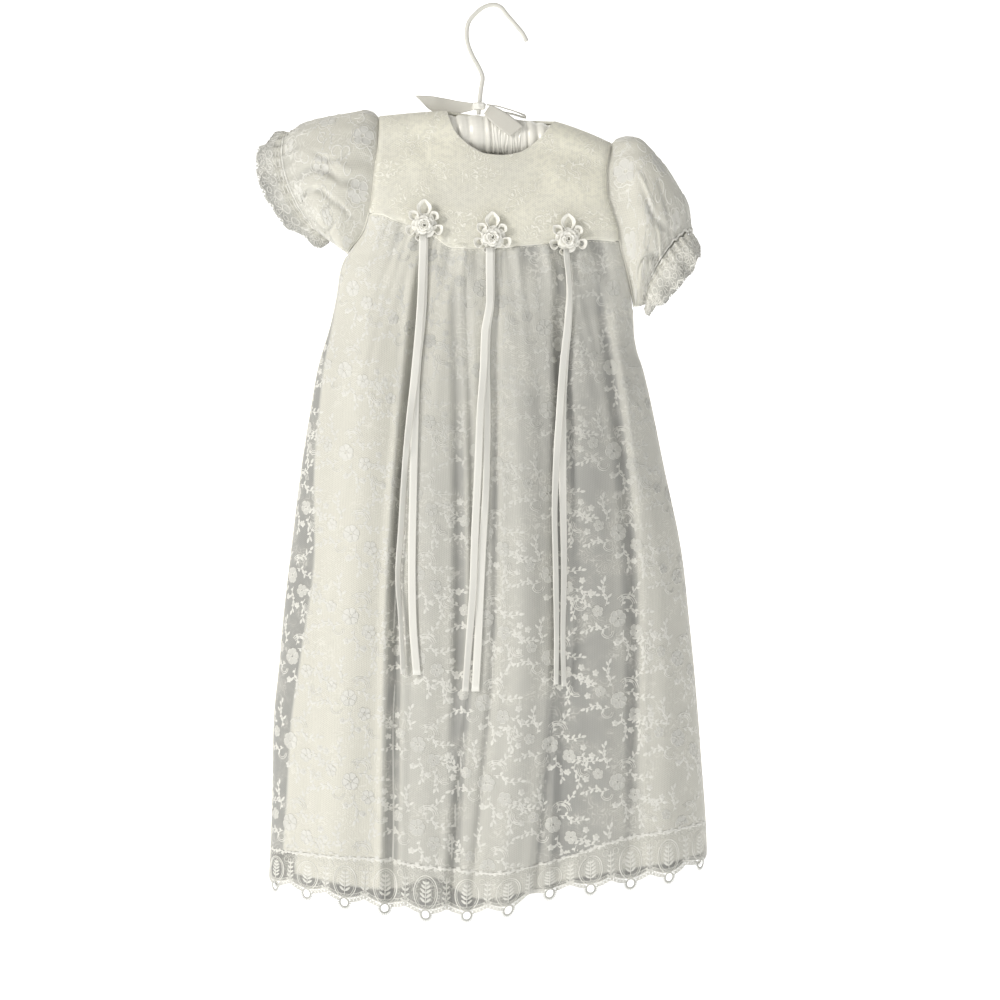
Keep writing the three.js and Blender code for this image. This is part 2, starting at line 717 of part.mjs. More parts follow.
// A solid through closed rings of points, with flat ends.
function loftGeometry(rings) {
  const count = rings[0].length;
  const points = rings.flat();
  const faces = [];
  for (let k = 0; k < rings.length - 1; k += 1) {
    for (let i = 0; i < count; i += 1) {
      const a = k * count + i;
      const b = k * count + ((i + 1) % count);
      faces.push([a, b, b + count], [a, b + count, a + count]);
    }
  }
  for (const [first, turn] of [[0, -1], [(rings.length - 1) * count, 1]]) {
    const middle = new THREE.Vector3();
    for (let i = 0; i < count; i += 1) middle.add(points[first + i]);
    points.push(middle.divideScalar(count));
    const centre = points.length - 1;
    for (let i = 0; i < count; i += 1) {
      const a = first + i;
      const b = first + ((i + 1) % count);
      faces.push(turn > 0 ? [centre, a, b] : [centre, b, a]);
    }
  }
  return solidGeometry(points, faces);
}

const root = new THREE.Group();
root.name = "christening_gown";

function add(name, geometry, colour, roughness) {
  geometry.computeVertexNormals();
  const material = new THREE.MeshStandardMaterial({ color: colour, roughness, metalness: 0 });
  const mesh = new THREE.Mesh(geometry, material);
  mesh.name = name;
  root.add(mesh);
}

// The yoke. Each column keeps its share across the body, and its rows crowd towards the shoulder.
const YOKE_ROWS = 8;
const YOKE_ROW_POWER = 1.7;
const NECK_LEFT = -40.4;
const NECK_RIGHT = 53;
const BACK_OPENING = 4;
const SHOULDER_LEFT = -98.5;
const SHOULDER_RIGHT = 102;
const shareOf = (x) => (x - SHOULDER_LEFT) / (SHOULDER_RIGHT - SHOULDER_LEFT);

function evenly(from, to, steps) {
  return Array.from({ length: steps + 1 }, (_, i) => mix(from, to, i / steps));
}

// Columns crowd towards the neck points, where the neckline is steepest.
function crowded(from, to, steps) {
  return evenly(0, 1, steps).map((t) => mix(from, to, (1 - Math.cos(Math.PI * t)) / 2));
}

function backNeck(x) {
  const share = clamp((x - NECK_LEFT) / (NECK_RIGHT - NECK_LEFT), 0, 1);
  return shoulder(x) - NECK_BACK_DROP * Math.sin(Math.PI * share);
}

function yokePanel(name, columnsAt, face, topOf) {
  const outerY = face === "front" ? frontY : backY;
  const geometry = sheetGeometry({
    columns: columnsAt.length - 1,
    rows: YOKE_ROWS,
    wall: YOKE_WALL,
    facing: face === "front" ? 1 : -1,
    middle: face === "front" ? -1 : 1,
    point: (i, j) => {
      const share = shareOf(columnsAt[i]);
      const foot = yokeSeam(mix(-107, 108.5, share)) + SEAM_GAP / 2;
      const z = mix(topOf(columnsAt[i]), foot, Math.pow(j / YOKE_ROWS, YOKE_ROW_POWER));
      const x = mix(leftEdge(z), rightEdge(z), share);
      return new THREE.Vector3(x, outerY(x, z), z);
    },
  });
  add(name, geometry, 0xf1eee2, 0.8);
}

const shoulderLeftColumns = evenly(SHOULDER_LEFT, NECK_LEFT, 5);
const shoulderRightColumns = evenly(NECK_RIGHT, SHOULDER_RIGHT, 5);
yokePanel(
  "yoke_front",
  [...shoulderLeftColumns, ...crowded(NECK_LEFT, NECK_RIGHT, 13).slice(1, -1), ...shoulderRightColumns],
  "front",
  (x) => (x > NECK_LEFT && x < NECK_RIGHT ? neckFront(x) : shoulder(x)),
);
yokePanel(
  "yoke_back_left",
  [...shoulderLeftColumns, ...evenly(NECK_LEFT, BACK_OPENING - HALF_GAP, 4).slice(1)],
  "back",
  backNeck,
);
yokePanel(
  "yoke_back_right",
  [...evenly(BACK_OPENING + HALF_GAP, NECK_RIGHT, 4).slice(0, -1), ...shoulderRightColumns],
  "back",
  backNeck,
);

for (const button of BUTTONS) {
  const x = BACK_OPENING;
  let seat = 0;
  for (const dx of [-BUTTON_RADIUS, 0, BUTTON_RADIUS]) {
    for (const dz of [-BUTTON_RADIUS, 0, BUTTON_RADIUS]) seat = Math.max(seat, backY(x + dx, button.z + dz));
  }
  const profile = [
    { y: SEAM_GAP, radius: BUTTON_RADIUS - 0.8 },
    { y: SEAM_GAP + 0.7, radius: BUTTON_RADIUS },
    { y: SEAM_GAP + BUTTON_HIGH - 0.6, radius: BUTTON_RADIUS - 0.3 },
    { y: SEAM_GAP + BUTTON_HIGH, radius: BUTTON_RADIUS - 1.6 },
  ];
  const rings = profile.map(({ y, radius }) =>
    evenly(0, 2 * Math.PI, BUTTON_SIDES)
      .slice(0, -1)
      .map((a) => new THREE.Vector3(x + radius * Math.cos(a), seat + y, button.z + radius * Math.sin(a))),
  );
  add(button.name, loftGeometry(rings), 0xf6f3ea, 0.3);
}

// The skirt's panels: the lace, and the lining made from the lace's points, moved in.
const FRONT_ROWS = [0, 0.03, 0.065, 0.11, 0.18, 0.28, 0.41, 0.56, 0.71, 0.86, 1];
const BACK_ROWS = [0, 0.03, 0.065, 0.11, 0.2, 0.35, 0.55, 0.78, 1];
const FRONT_COLUMNS = 32;
const BACK_COLUMNS = 24;

function lacePoint(face, share, downShare, footOf) {
  const top = yokeSeam(mix(-107, 108.5, share)) - SEAM_GAP / 2;
  const foot = footOf(mix(-194, 185.6, share));
  const z = mix(top, foot, downShare);
  const x = mix(leftEdge(z), rightEdge(z), share);
  return new THREE.Vector3(x, face === "front" ? frontY(x, z) : backY(x, z), z);
}

function skirtPanels(face, columns, rowShares) {
  const facing = face === "front" ? 1 : -1;
  const rows = rowShares.length - 1;
  const shareAt = (i) => across(i / columns);
  const lace = { columns, rows, facing, point: (i, j) => lacePoint(face, shareAt(i), rowShares[j], heading) };
  add(`skirt_lace_${face}`, sheetGeometry({ ...lace, wall: CLOTH_WALL, middle: -facing }), 0xf3f1e6, 0.75);
  const under = {
    columns,
    rows: rows + 1,
    facing,
    point: (i, j) => (j <= rows ? lace.point(i, j) : lacePoint(face, shareAt(i), 1, liningHem)),
  };
  const grid = gridOf(under);
  const lining = {
    ...under,
    point: (i, j) => {
      const gap = j >= rows ? LINING_HEM_GAP : LINING_GAP;
      const p = grid.at(i, j).clone().addScaledVector(grid.inward(i, j), CLOTH_WALL + gap);
      const side = Math.max(0, 1 - shareAt(i) / LINING_SIDE);
      p.x += liningLeftIn(p.z) * side * side;
      p.y = facing > 0 ? Math.min(p.y, -HALF_GAP) : Math.max(p.y, HALF_GAP);
      return p;
    },
  };
  add(`skirt_lining_${face}`, sheetGeometry({ ...lining, wall: CLOTH_WALL, middle: -facing }), 0xe9e8e0, 0.5);
}

skirtPanels("front", FRONT_COLUMNS, FRONT_ROWS);
skirtPanels("back", BACK_COLUMNS, BACK_ROWS);

// The scalloped edging with a picot ring at the foot of every scallop.
function hemLace(name, face) {
  const perScallop = SCALLOP_COLUMNS.length;
  const columns = SCALLOPS * perScallop;
  const bodyRows = 1;
  const rows = bodyRows + 2;
  const outerY = face === "front" ? frontY : backY;
  const inRing = (i) => i % perScallop >= RING_FIRST && i % perScallop <= RING_LAST;
  const geometry = sheetGeometry({
    columns,
    rows,
    wall: CLOTH_WALL,
    facing: face === "front" ? 1 : -1,
    middle: face === "front" ? -1 : 1,
    keep: (i, j) => {
      if (j < bodyRows) return true;
      if (!inRing(i)) return false;
      return !(j === bodyRows && i % perScallop === RING_FIRST + 1);
    },
    point: (i, j) => {
      const scallop = Math.min(Math.floor(i / perScallop), SCALLOPS - 1);
      let part = i === columns ? 1 : SCALLOP_COLUMNS[i % perScallop];
      const valley = Math.pow(Math.abs(2 * part - 1), 2);
      if (j === rows) part += part < 0.5 ? RING_PINCH : -RING_PINCH;
      if (j === rows - 1) part += part < 0.5 ? -RING_PINCH / 3 : RING_PINCH / 3;
      const share = across((scallop + part) / SCALLOPS);
      const guide = mix(-194, 185.6, share);
      const top = heading(guide) - SEAM_GAP;
      const foot = scallopBase(guide) + SCALLOP_RISE * valley;
      let z = mix(top, foot, Math.min(j, bodyRows) / bodyRows);
      if (j > bodyRows) z -= RING_HOLE_HEIGHT;
      if (j > bodyRows + 1) z -= RING_FOOT_HEIGHT;
      const x = mix(leftEdge(z), rightEdge(z), share);
      return new THREE.Vector3(x, outerY(x, z), z);
    },
  });
  add(name, geometry, 0xf6f4ea, 0.75);
}

hemLace("hem_lace_front", "front");
hemLace("hem_lace_back", "back");

// A point of a sleeve or of its ruffle: v runs from the armhole outwards, a turns from the top over the front to the foot.
function sleevePoint(sleeve, rings, v, a) {
  const read = (column) => through(rings, "v", column)(v);
  const top = new THREE.Vector3(read("topX"), 0, read("topZ"));
  const foot = new THREE.Vector3(read("footX"), 0, read("footZ"));
  const down = (1 - Math.cos(a)) / 2;
  const swing = Math.sin(a);
  const bow = swing > 0 ? read("front") : read("back");
  const point = top.clone().lerp(foot, down);
  point.x += sleeve.out.x * bow * Math.abs(swing);
  point.z += sleeve.out.z * bow * Math.abs(swing);
  point.y = -read("half") * swing;
  return { point, down, swing };
}

// The armhole's own edge, which the first ring of the sleeve follows.
function armholePoint(sleeve, a) {
  const { top, under } = ARMHOLES[sleeve.side];
  const share = (1 - Math.cos(a)) / 2;
  const z = mix(top - 0.4, under + 1.5, share);
  const edge = sleeve.side === "left" ? leftEdge(z) : rightEdge(z);
  const clear = mix(0.8, 1.4, smooth((share - 0.8) / 0.2));
  const x = edge + sleeve.sign * clear;
  const opening = lensHalf(edge, z) * (Math.sin(a) > 0 ? 1 : BACK_DEPTH);
  const y = -Math.sign(Math.round(Math.sin(a) * 1e6)) * Math.max(opening, 1.2);
  return new THREE.Vector3(x, y, z);
}

function sleeve(name, plan) {
  const geometry = sheetGeometry({
    columns: SLEEVE_AROUND,
    rows: SLEEVE_ALONG,
    wall: CLOTH_WALL,
    round: true,
    facing: plan.side === "left" ? 1 : -1,
    point: (i, j) => {
      const v = j / SLEEVE_ALONG;
      const a = (2 * Math.PI * i) / SLEEVE_AROUND;
      const { point, down, swing } = sleevePoint(plan, plan.rings, v, a);
      const cap = CAP_GATHER_OUT * Math.sin(CAP_GATHERS * a + 0.6) * bump(v / 0.5) * smooth(1.4 - down * 1.6);
      const cuff = CUFF_GATHER_OUT * Math.sin(CUFF_GATHERS * a) * bump((1 - v) / 0.45);
      let out = (cap + cuff) * smooth(v / SLEEVE_JOIN);
      for (const crease of plan.creases) {
        if (swing <= 0) continue;
        out -= crease.deep * bump((down - crease.h) / (2.4 * crease.reachH)) * bump((v - crease.v) / crease.reachV);
      }
      point.y -= out * swing;
      point.z += out * Math.cos(a);
      return armholePoint(plan, a).lerp(point, smooth(v / SLEEVE_JOIN));
    },
  });
  add(name, geometry, 0xf2f0e6, 0.8);
}

function sleeveLace(name, plan) {
  const geometry = sheetGeometry({
    columns: RUFFLE_AROUND,
    rows: RUFFLE_ROWS,
    wall: CLOTH_WALL,
    round: true,
    facing: plan.side === "left" ? 1 : -1,
    point: (i, j) => {
      const a = (2 * Math.PI * i) / RUFFLE_AROUND;
      const edge = Math.abs(Math.sin((RUFFLE_SCALLOPS * a) / 2));
      const last = 1 - (RUFFLE_SCALLOP_DEEP / 20) * (1 - edge);
      const v = (j / RUFFLE_ROWS) * last;
      const { point, swing } = sleevePoint(plan, plan.lace, v, a);
      const cuff = CUFF_GATHER_OUT * Math.sin(CUFF_GATHERS * a) * (1 - smooth(v / 0.5));
      const wave = RUFFLE_OUT * Math.sin(RUFFLE_WAVES * a + 0.8) * smooth(v);
      const out = cuff + wave;
      point.y -= out * swing;
      point.z += out * Math.cos(a);
      return point;
    },
  });
  add(name, geometry, 0xf6f4ea, 0.75);
}

sleeve("sleeve_left", SLEEVES.left);
sleeve("sleeve_right", SLEEVES.right);
sleeveLace("sleeve_lace_left", SLEEVES.left);
sleeveLace("sleeve_lace_right", SLEEVES.right);

// One ribbon loop of a rosette, as a band that stands out from the gown.
function loopGeometry(loop) {
  const turn = THREE.MathUtils.degToRad(loop.angle);
  const forward = { x: Math.cos(turn), z: Math.sin(turn) };
  const aside = { x: -forward.z, z: forward.x };
  return sheetGeometry({
    columns: 1,
    rows: LOOP_STEPS,
    wall: RIBBON_WALL,
    facing: 1,
    point: (i, j) => {
      const t = j / LOOP_STEPS;
      const reach = Math.sin(Math.PI * t);
      const far = loop.from + loop.long * mix(reach, 1 - Math.abs(2 * t - 1), 0.5 * loop.pointed);
      const wide = Math.sin(2 * Math.PI * t) * mix(1, 0.9, loop.pointed);
      const x = forward.x * far + aside.x * wide * (loop.wide / 2);
      const z = forward.z * far + aside.z * wide * (loop.wide / 2);
      const y = -0.4 - LOOP_BAND * i - 1.2 * reach;
      return new THREE.Vector3(x, y, z);
    },
  });
}

function asManifold(geometry) {
  const mesh = new wasm.Mesh({
    numProp: 3,
    vertProperties: new Float32Array(geometry.getAttribute("position").array),
    triVerts: new Uint32Array(geometry.getIndex().array),
  });
  return new wasm.Manifold(mesh);
}

function fromManifold(solid) {
  const mesh = solid.getMesh();
  const geometry = new THREE.BufferGeometry();
  geometry.setAttribute("position", new THREE.BufferAttribute(mesh.vertProperties, mesh.numProp));
  geometry.setIndex(new THREE.BufferAttribute(mesh.triVerts, 1));
  return geometry;
}

// The most forward point of the gown's front round a place.
function foremost(x, z, reach) {
  let y = 0;
  for (const dx of [-1, -0.5, 0, 0.5, 1]) {
    for (const dz of [-1, -0.5, 0, 0.5, 1]) y = Math.min(y, frontY(x + dx * reach, z + dz * reach));
  }
  return y;
}

for (const rosette of ROSETTES) {
  const rings = ROSE_RINGS.map(({ y, radius, turn }) =>
    evenly(0, 2 * Math.PI, ROSE_SIDES)
      .slice(0, -1)
      .map((a) => {
        const lobed = radius * (1 + ROSE_LOBE_OUT * Math.cos(ROSE_LOBES * (a + turn)));
        return new THREE.Vector3(lobed * Math.cos(a + turn), y, lobed * Math.sin(a + turn));
      }),
  );
  const pieces = [loftGeometry(rings), ...ROSE_LOOPS.map(loopGeometry)].map(asManifold);
  const whole = fromManifold(wasm.Manifold.union(pieces));
  const seat = foremost(rosette.x, rosette.z, 6) - SEAM_GAP;
  whole.translate(rosette.x, seat, rosette.z);
  add(rosette.name, whole, 0xfaf8f0, 0.35);
}

// A ribbon from rows of middle points and half-width vectors.
function ribbonGeometry(rows, facing) {
  return sheetGeometry({
    columns: 1,
    rows: rows.length - 1,
    wall: RIBBON_WALL,
    facing,
    point: (i, j) => {
      const { middle, wide } = rows[j];
      return middle.clone().addScaledVector(wide, 2 * i - 1);
    },
  });
}

const STREAMER_STEP = 24;
let beneath = null;
for (const { name, reach, over, rows } of STREAMERS) {
  const [xAt, turnAt] = ["x", "turn"].map((column) => through(rows, "z", column));
  const first = rows[0].z;
  const last = rows[rows.length - 1].z;
  const strand = (z) => {
    const turn = THREE.MathUtils.degToRad(turnAt(z));
    const x = xAt(z);
    const half = STREAMER_WIDTH / 2;
    const flat = half * Math.cos(turn);
    const lift = half * Math.abs(Math.sin(turn));
    let y = foremost(x, z, reach) - SEAM_GAP - RIBBON_WALL - lift;
    if (over && z >= beneath.last) {
      const other = beneath.strand(z);
      const apart = Math.abs(x - other.x) - flat - other.flat - SEAM_GAP;
      const above = other.y - other.lift - RIBBON_WALL - 2 * SEAM_GAP - lift;
      y = mix(y, Math.min(y, above), smooth(1 - apart / 2.5));
    }
    return { x, y, z, flat, lift, turn };
  };
  const places = evenly(first, last, Math.ceil((first - last) / STREAMER_STEP)).map((z) => {
    const { x, y, flat, turn } = strand(z);
    return {
      middle: new THREE.Vector3(x, y, z),
      wide: new THREE.Vector3(flat, (STREAMER_WIDTH / 2) * Math.sin(turn), 0),
    };
  });
  beneath = over ? null : { strand, last };
  add(name, ribbonGeometry(places, 1), 0xfbfaf4, 0.3);
}

// The hanger.
function barTop(x) {
  return shoulder(x) - YOKE_WALL - BAR_CLEAR;
}

const barHigh = through(BAR_HALF, "x", "high");
const barDeep = through(BAR_HALF, "x", "deep");

function barSection(x) {
  const end = Math.min(x - BAR_ENDS.left, BAR_ENDS.right - x);
  const t = 1 - clamp(end / BAR_ROUND, 0.04, 1);
  const blunt = Math.pow(1 - t * t * t, 0.5);
  const high = barHigh(x) * blunt;
  return { high, deep: barDeep(x) * blunt, z: barTop(x) - barHigh(x) };
}

function barGeometry() {
  const rings = evenly(BAR_ENDS.left, BAR_ENDS.right, BAR_STATIONS).map((x) => {
    const { high, deep, z } = barSection(x);
    return evenly(0, 2 * Math.PI, BAR_SIDES)
      .slice(0, -1)
      .map((a) => new THREE.Vector3(x, deep * Math.sin(a), z + high * Math.cos(a)));
  });
  return loftGeometry(rings);
}

function hookGeometry() {
  const line = new THREE.CatmullRomCurve3(HOOK_LINE.map(({ x, z }) => new THREE.Vector3(x, 0, z)), false, "centripetal");
  const foot = barTop(HOOK_LINE[0].x) + SEAM_GAP;
  const rings = evenly(0, 1, HOOK_STEPS).map((t) => {
    const centre = line.getPoint(t);
    const tangent = line.getTangent(t);
    if (t === 0) {
      centre.z = foot;
      tangent.set(0, 0, 1);
    }
    const aside = new THREE.Vector3(tangent.z, 0, -tangent.x);
    const radius = t === 1 ? HOOK_RADIUS * 0.8 : HOOK_RADIUS;
    return evenly(0, 2 * Math.PI, HOOK_SIDES)
      .slice(0, -1)
      .map((a) => centre.clone().addScaledVector(aside, radius * Math.cos(a)).add(new THREE.Vector3(0, radius * Math.sin(a), 0)));
  });
  return loftGeometry(rings);
}

function knotGeometry() {
  const { inner, outer, high } = KNOT;
  const profile = [
    [inner, -high / 2],
    [outer * 0.8, -high / 2],
    [outer, -high / 5],
    [outer, high / 5],
    [outer * 0.8, high / 2],
    [inner, high / 2],
  ];
  const points = [];
  const faces = [];
  const lean = -Math.atan2(2.1, 19);
  for (let i = 0; i < KNOT_SIDES; i += 1) {
    const a = (2 * Math.PI * i) / KNOT_SIDES;
    for (const [radius, z] of profile) {
      const swell = radius > inner ? 1 + 0.08 * Math.cos(2 * a) : 1;
      points.push(new THREE.Vector3(radius * swell * Math.cos(a) - z * Math.sin(lean), radius * 0.9 * swell * Math.sin(a), z));
    }
  }
  const count = profile.length;
  for (let i = 0; i < KNOT_SIDES; i += 1) {
    for (let k = 0; k < count; k += 1) {
      const a = i * count + k;
      const b = i * count + ((k + 1) % count);
      const c = ((i + 1) % KNOT_SIDES) * count + ((k + 1) % count);
      const d = ((i + 1) % KNOT_SIDES) * count + k;
      faces.push([a, b, c], [a, c, d]);
    }
  }
  return solidGeometry(points, faces).translate(KNOT.x, 0, KNOT.z);
}

// How far forward the bar reaches at a place.
function barFront(x, z) {
  const section = barSection(x);
  const t = clamp((z - section.z) / section.high, -1, 1);
  return -section.deep * Math.sqrt(1 - t * t);
}

add("hanger_bar", barGeometry(), 0xf4f2ea, 0.35);
add("hanger_hook", hookGeometry(), 0xf0efe8, 0.4);
add("bow_knot", knotGeometry(), 0xfaf8f0, 0.35);
const asRow = ({ x, y, z, wx, wy, wz }) => ({
  middle: new THREE.Vector3(x, y, z),
  wide: new THREE.Vector3(wx, wy, wz),
});
add("bow_tail_left", ribbonGeometry(BOW_TAIL_LEFT.map(asRow), 1), 0xf7f5ee, 0.35);
const tailRight = BOW_TAIL_RIGHT.map(({ x, z, wx, wz }) => {
  const over = Math.min(barFront(x, z), barFront(x + wx, z + wz), barFront(x - wx, z - wz));
  return asRow({ x, y: over - TAIL_CLEAR - RIBBON_WALL, z, wx, wy: 0, wz });
});
add("bow_tail_right", ribbonGeometry(tailRight, 1), 0xf7f5ee, 0.35);
const loopRows = BOW_LOOP.map((row) => asRow({ ...row, z: Math.max(row.z, barTop(row.x) + BOW_LOOP_CLEAR) }));
add("bow_loop", ribbonGeometry(loopRows, 1), 0xf7f5ee, 0.35);

export default root;
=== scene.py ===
"""A long baby gown on a padded hanger: lace over satin, puffed sleeves, ribbon rosettes and a scalloped hem.

Tables and sizes are in millimetres, +Z up, the front facing -Y; meshes are made in metres.
"""
import json
import math
from collections import namedtuple

import bpy
import numpy as np
from mathutils import Matrix, Vector

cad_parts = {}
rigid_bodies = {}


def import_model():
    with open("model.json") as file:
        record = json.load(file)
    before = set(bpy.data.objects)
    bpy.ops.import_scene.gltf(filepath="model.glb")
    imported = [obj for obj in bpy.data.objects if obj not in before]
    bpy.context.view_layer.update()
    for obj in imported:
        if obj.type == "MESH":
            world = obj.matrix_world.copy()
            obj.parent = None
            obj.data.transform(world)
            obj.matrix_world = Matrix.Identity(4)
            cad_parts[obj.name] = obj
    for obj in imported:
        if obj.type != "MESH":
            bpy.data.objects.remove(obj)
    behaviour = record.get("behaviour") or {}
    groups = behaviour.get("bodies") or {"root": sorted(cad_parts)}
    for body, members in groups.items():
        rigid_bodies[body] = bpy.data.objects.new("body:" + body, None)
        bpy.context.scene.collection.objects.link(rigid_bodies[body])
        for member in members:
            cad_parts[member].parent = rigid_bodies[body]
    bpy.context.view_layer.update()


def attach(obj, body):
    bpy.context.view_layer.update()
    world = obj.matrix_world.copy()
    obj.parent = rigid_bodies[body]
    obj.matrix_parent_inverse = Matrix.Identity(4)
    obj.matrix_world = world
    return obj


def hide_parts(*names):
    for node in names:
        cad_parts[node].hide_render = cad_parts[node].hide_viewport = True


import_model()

bl_info = {
    "name": "Christening Gown",
    "version": (1, 0, 0),
    "blender": (4, 5, 0),
    "location": "3D View > Sidebar > Gown",
    "description": "Dresses a hung baby gown in lace, satin and ribbon",
    "category": "Object",
}

MM = 0.001

# Sizes shared with the solids.
YOKE_WALL = 1.4
CLOTH_WALL = 1.0
SEAM_GAP = 0.4
HALF_GAP = 0.2
ROLL_HEIGHT = 19
ROLL_POWER = 0.45
BODY_POWER = 0.9
ROLL_FADE = 120
BACK_DEPTH = 0.86
BACK_FADE = 90
ARMHOLE_HALF = 15
ARMHOLE_POWER = 0.8
LINING_DEPTH = 1.6
LINING_HEM_DEPTH = 6
LINING_SIDE = 0.2
EDGE_FADE = 24
FOLD_MID_Z = -515
FOLD_HEM_Z = -755
GATHER_SPREAD = 260
NEAR_PLEAT = 5.2
NEAR_PLEAT_RUN = 26
FAR_PLEAT = 13.5
FAR_PLEAT_RUN = 120
SEAM_LEFT = -107
SEAM_RIGHT = 108.5
HEM_LEFT = -194
HEM_RIGHT = 185.6
NECK_LEFT = -40.4
NECK_RIGHT = 53
NECK_BACK_DROP = 3.5
SHOULDER_LEFT = -98.5
SHOULDER_RIGHT = 102
BACK_OPENING = 4
HEM_TURN_Z = -735
HEM_TURN_REACH = 25
SCALLOPS = 12
SCALLOP_RISE = 5
SCALLOP_WIDE = 36
SCALLOP_TALL = 34

# Outlines as pairs: a height and the place across there, or a place across and the height there.
LEFT_EDGE = [
    (-96, -98.5), (-122, -99), (-139, -101), (-168, -104), (-181, -107), (-196, -112), (-216, -126.6),
    (-228, -132), (-251, -135.5), (-275, -140.5), (-315, -152), (-355, -159), (-396, -165.6), (-469, -174.8),
    (-531, -182), (-571, -185.5), (-623, -190.5), (-698, -192), (-770, -195),
]
RIGHT_EDGE = [
    (-119, 102), (-146, 97.5), (-164, 98), (-178, 102), (-193, 106.5), (-205.5, 108.5), (-236, 116.5),
    (-262, 121), (-285, 122), (-299, 124.4), (-316, 130), (-400, 148), (-479, 164), (-524, 169), (-584, 175),
    (-655, 180.6), (-719, 185), (-748, 185.8),
]
LINING_LEFT_IN = [(-181, 0), (-260, 0.5), (-310, 5), (-396, 12), (-500, 24), (-567, 20), (-653, 16), (-755, 12)]
SHOULDER = [
    (-98.5, -96.3), (-60, -92.8), (-40.4, -91.8), (-12, -91.6), (20, -95.2), (53, -100.8), (80, -109.8),
    (102, -119.4),
]
NECK_FRONT = [
    (-40.4, -91.8), (-38, -99), (-33, -110), (-26, -118), (-17, -125), (-7, -130), (8, -131.5), (24, -129),
    (36, -120.5), (43, -114), (48, -107.5), (53, -100.8),
]
YOKE_SEAM = [
    (-107, -181), (-96, -182), (-86, -186), (-59, -195), (-42, -203), (-26, -211), (0, -212.5), (41, -208.6),
    (65, -207), (87, -204), (108.5, -205.5),
]
BODY_HALF = [(0, 13), (20, 13.6), (45, 20), (90, 27), (170, 31), (300, 41), (500, 54), (680, 62)]
HEADING = [
    (-195, -730), (-96, -734), (-61, -739), (0, -744.5), (30, -740), (62, -732.5), (103, -719), (139, -713),
    (185, -707),
]
SCALLOP_BASE = [
    (-195, -757), (-150, -764), (-95, -773), (-32, -779), (6, -775), (43, -761), (80, -757), (120, -753),
    (153, -748), (186, -737),
]
LINING_HEM = [
    (-183, -752), (-146, -757), (-98, -764), (-50, -764), (-11, -771), (24.5, -766), (60, -757), (94, -751),
    (131, -746), (183, -738),
]

# Long folds: the ridge's place at the seam, at mid skirt and at the hem, its reach to either side, how far it
# stands out (a trough is negative) and how far below the seam it is full.
Fold = namedtuple("Fold", "seam mid hem left right out grow")
FRONT_FOLDS = [
    Fold(-98, -121, -136, 30, 34, 7.5, 150),
    Fold(-60, -84, -89, 9, 12, -5.5, 90),
    Fold(-44, -56, -60, 20, 18, 2.5, 120),
    Fold(-30, -28, -34, 10, 10, -4.5, 80),
    Fold(18, 27, 8, 24, 30, 7, 160),
    Fold(58, 62, 56, 9, 16, -4.5, 110),
    Fold(66, 92, 98, 20, 20, 2.5, 140),
    Fold(92, 120, 124, 12, 10, -4, 120),
    Fold(100, 143, 152, 24, 24, 5, 120),
]
BACK_FOLDS = [
    Fold(-80, -128, -140, 28, 30, 6, 150),
    Fold(-58, -84, -92, 14, 12, -5, 100),
    Fold(-36, -42, -50, 26, 24, 5.5, 130),
    Fold(-6, -4, 0, 12, 14, -5, 90),
    Fold(26, 40, 44, 26, 28, 6.5, 150),
    Fold(60, 84, 92, 14, 12, -5, 110),
    Fold(84, 126, 138, 26, 24, 5.5, 140),
]
# Narrow creases that the cloth shows on top of its long folds.
FRONT_CREASES = [
    Fold(-64, -90, -94, 9, 3, 2.4, 90),
    Fold(-58, -84, -85, 3, 7, -3.2, 60),
    Fold(-52, -76, -78, 5, 8, 1.6, 120),
    Fold(-30, -22, -42, 8, 3, 1.6, 60),
    Fold(-24, -17, -38, 3, 6, -2.4, 60),
    Fold(4, 2, -17, 6, 3, -2.4, 120),
    Fold(8, 8, -10, 4, 10, 1.8, 120),
    Fold(48, 50, 30, 10, 3, 1.6, 110),
    Fold(53, 56, 36, 3, 8, -2.4, 110),
    Fold(86, 122, 114, 8, 4, -2.2, 120),
    Fold(92, 130, 122, 5, 9, 1.4, 120),
    Fold(-92, -140, -158, 10, 8, 1.2, 200),
]
BACK_CREASES = [
    Fold(-52, -80, -86, 3, 6, -1.8, 140),
    Fold(-20, -24, -26, 5, 3, -1.4, 120),
    Fold(10, 14, 18, 3, 6, -1.6, 110),
    Fold(54, 78, 86, 6, 3, -1.7, 130),
]
Gather = namedtuple("Gather", "x reach out run")
FRONT_GATHERS = [
    Gather(-94, 7, 1.8, 60), Gather(-79, 8, -1.8, 95), Gather(-66, 6, 1.2, 45), Gather(-50, 8, 1.9, 70),
    Gather(-37, 7, -1.8, 60), Gather(-26, 6, 2.2, 55), Gather(-14, 7, -2.0, 50), Gather(4, 5, 2.0, 45),
    Gather(12, 5, -1.2, 35), Gather(20, 6, 2.2, 60), Gather(31, 9, -2.2, 55), Gather(45, 6, 2.0, 65),
    Gather(57, 7, -1.5, 50), Gather(75, 7, 1.9, 70), Gather(88, 9, -2.2, 75), Gather(100, 6, 1.5, 50),
]
BACK_GATHERS = [
    Gather(-90, 8, 2.0, 70), Gather(-70, 9, -2.0, 60), Gather(-47, 8, 2.2, 75), Gather(-26, 8, -1.8, 50),
    Gather(-8, 7, 1.8, 65), Gather(16, 8, 2.2, 60), Gather(34, 8, -2.0, 80), Gather(56, 9, 1.9, 55),
    Gather(78, 8, -1.8, 70), Gather(95, 7, 1.8, 60),
]

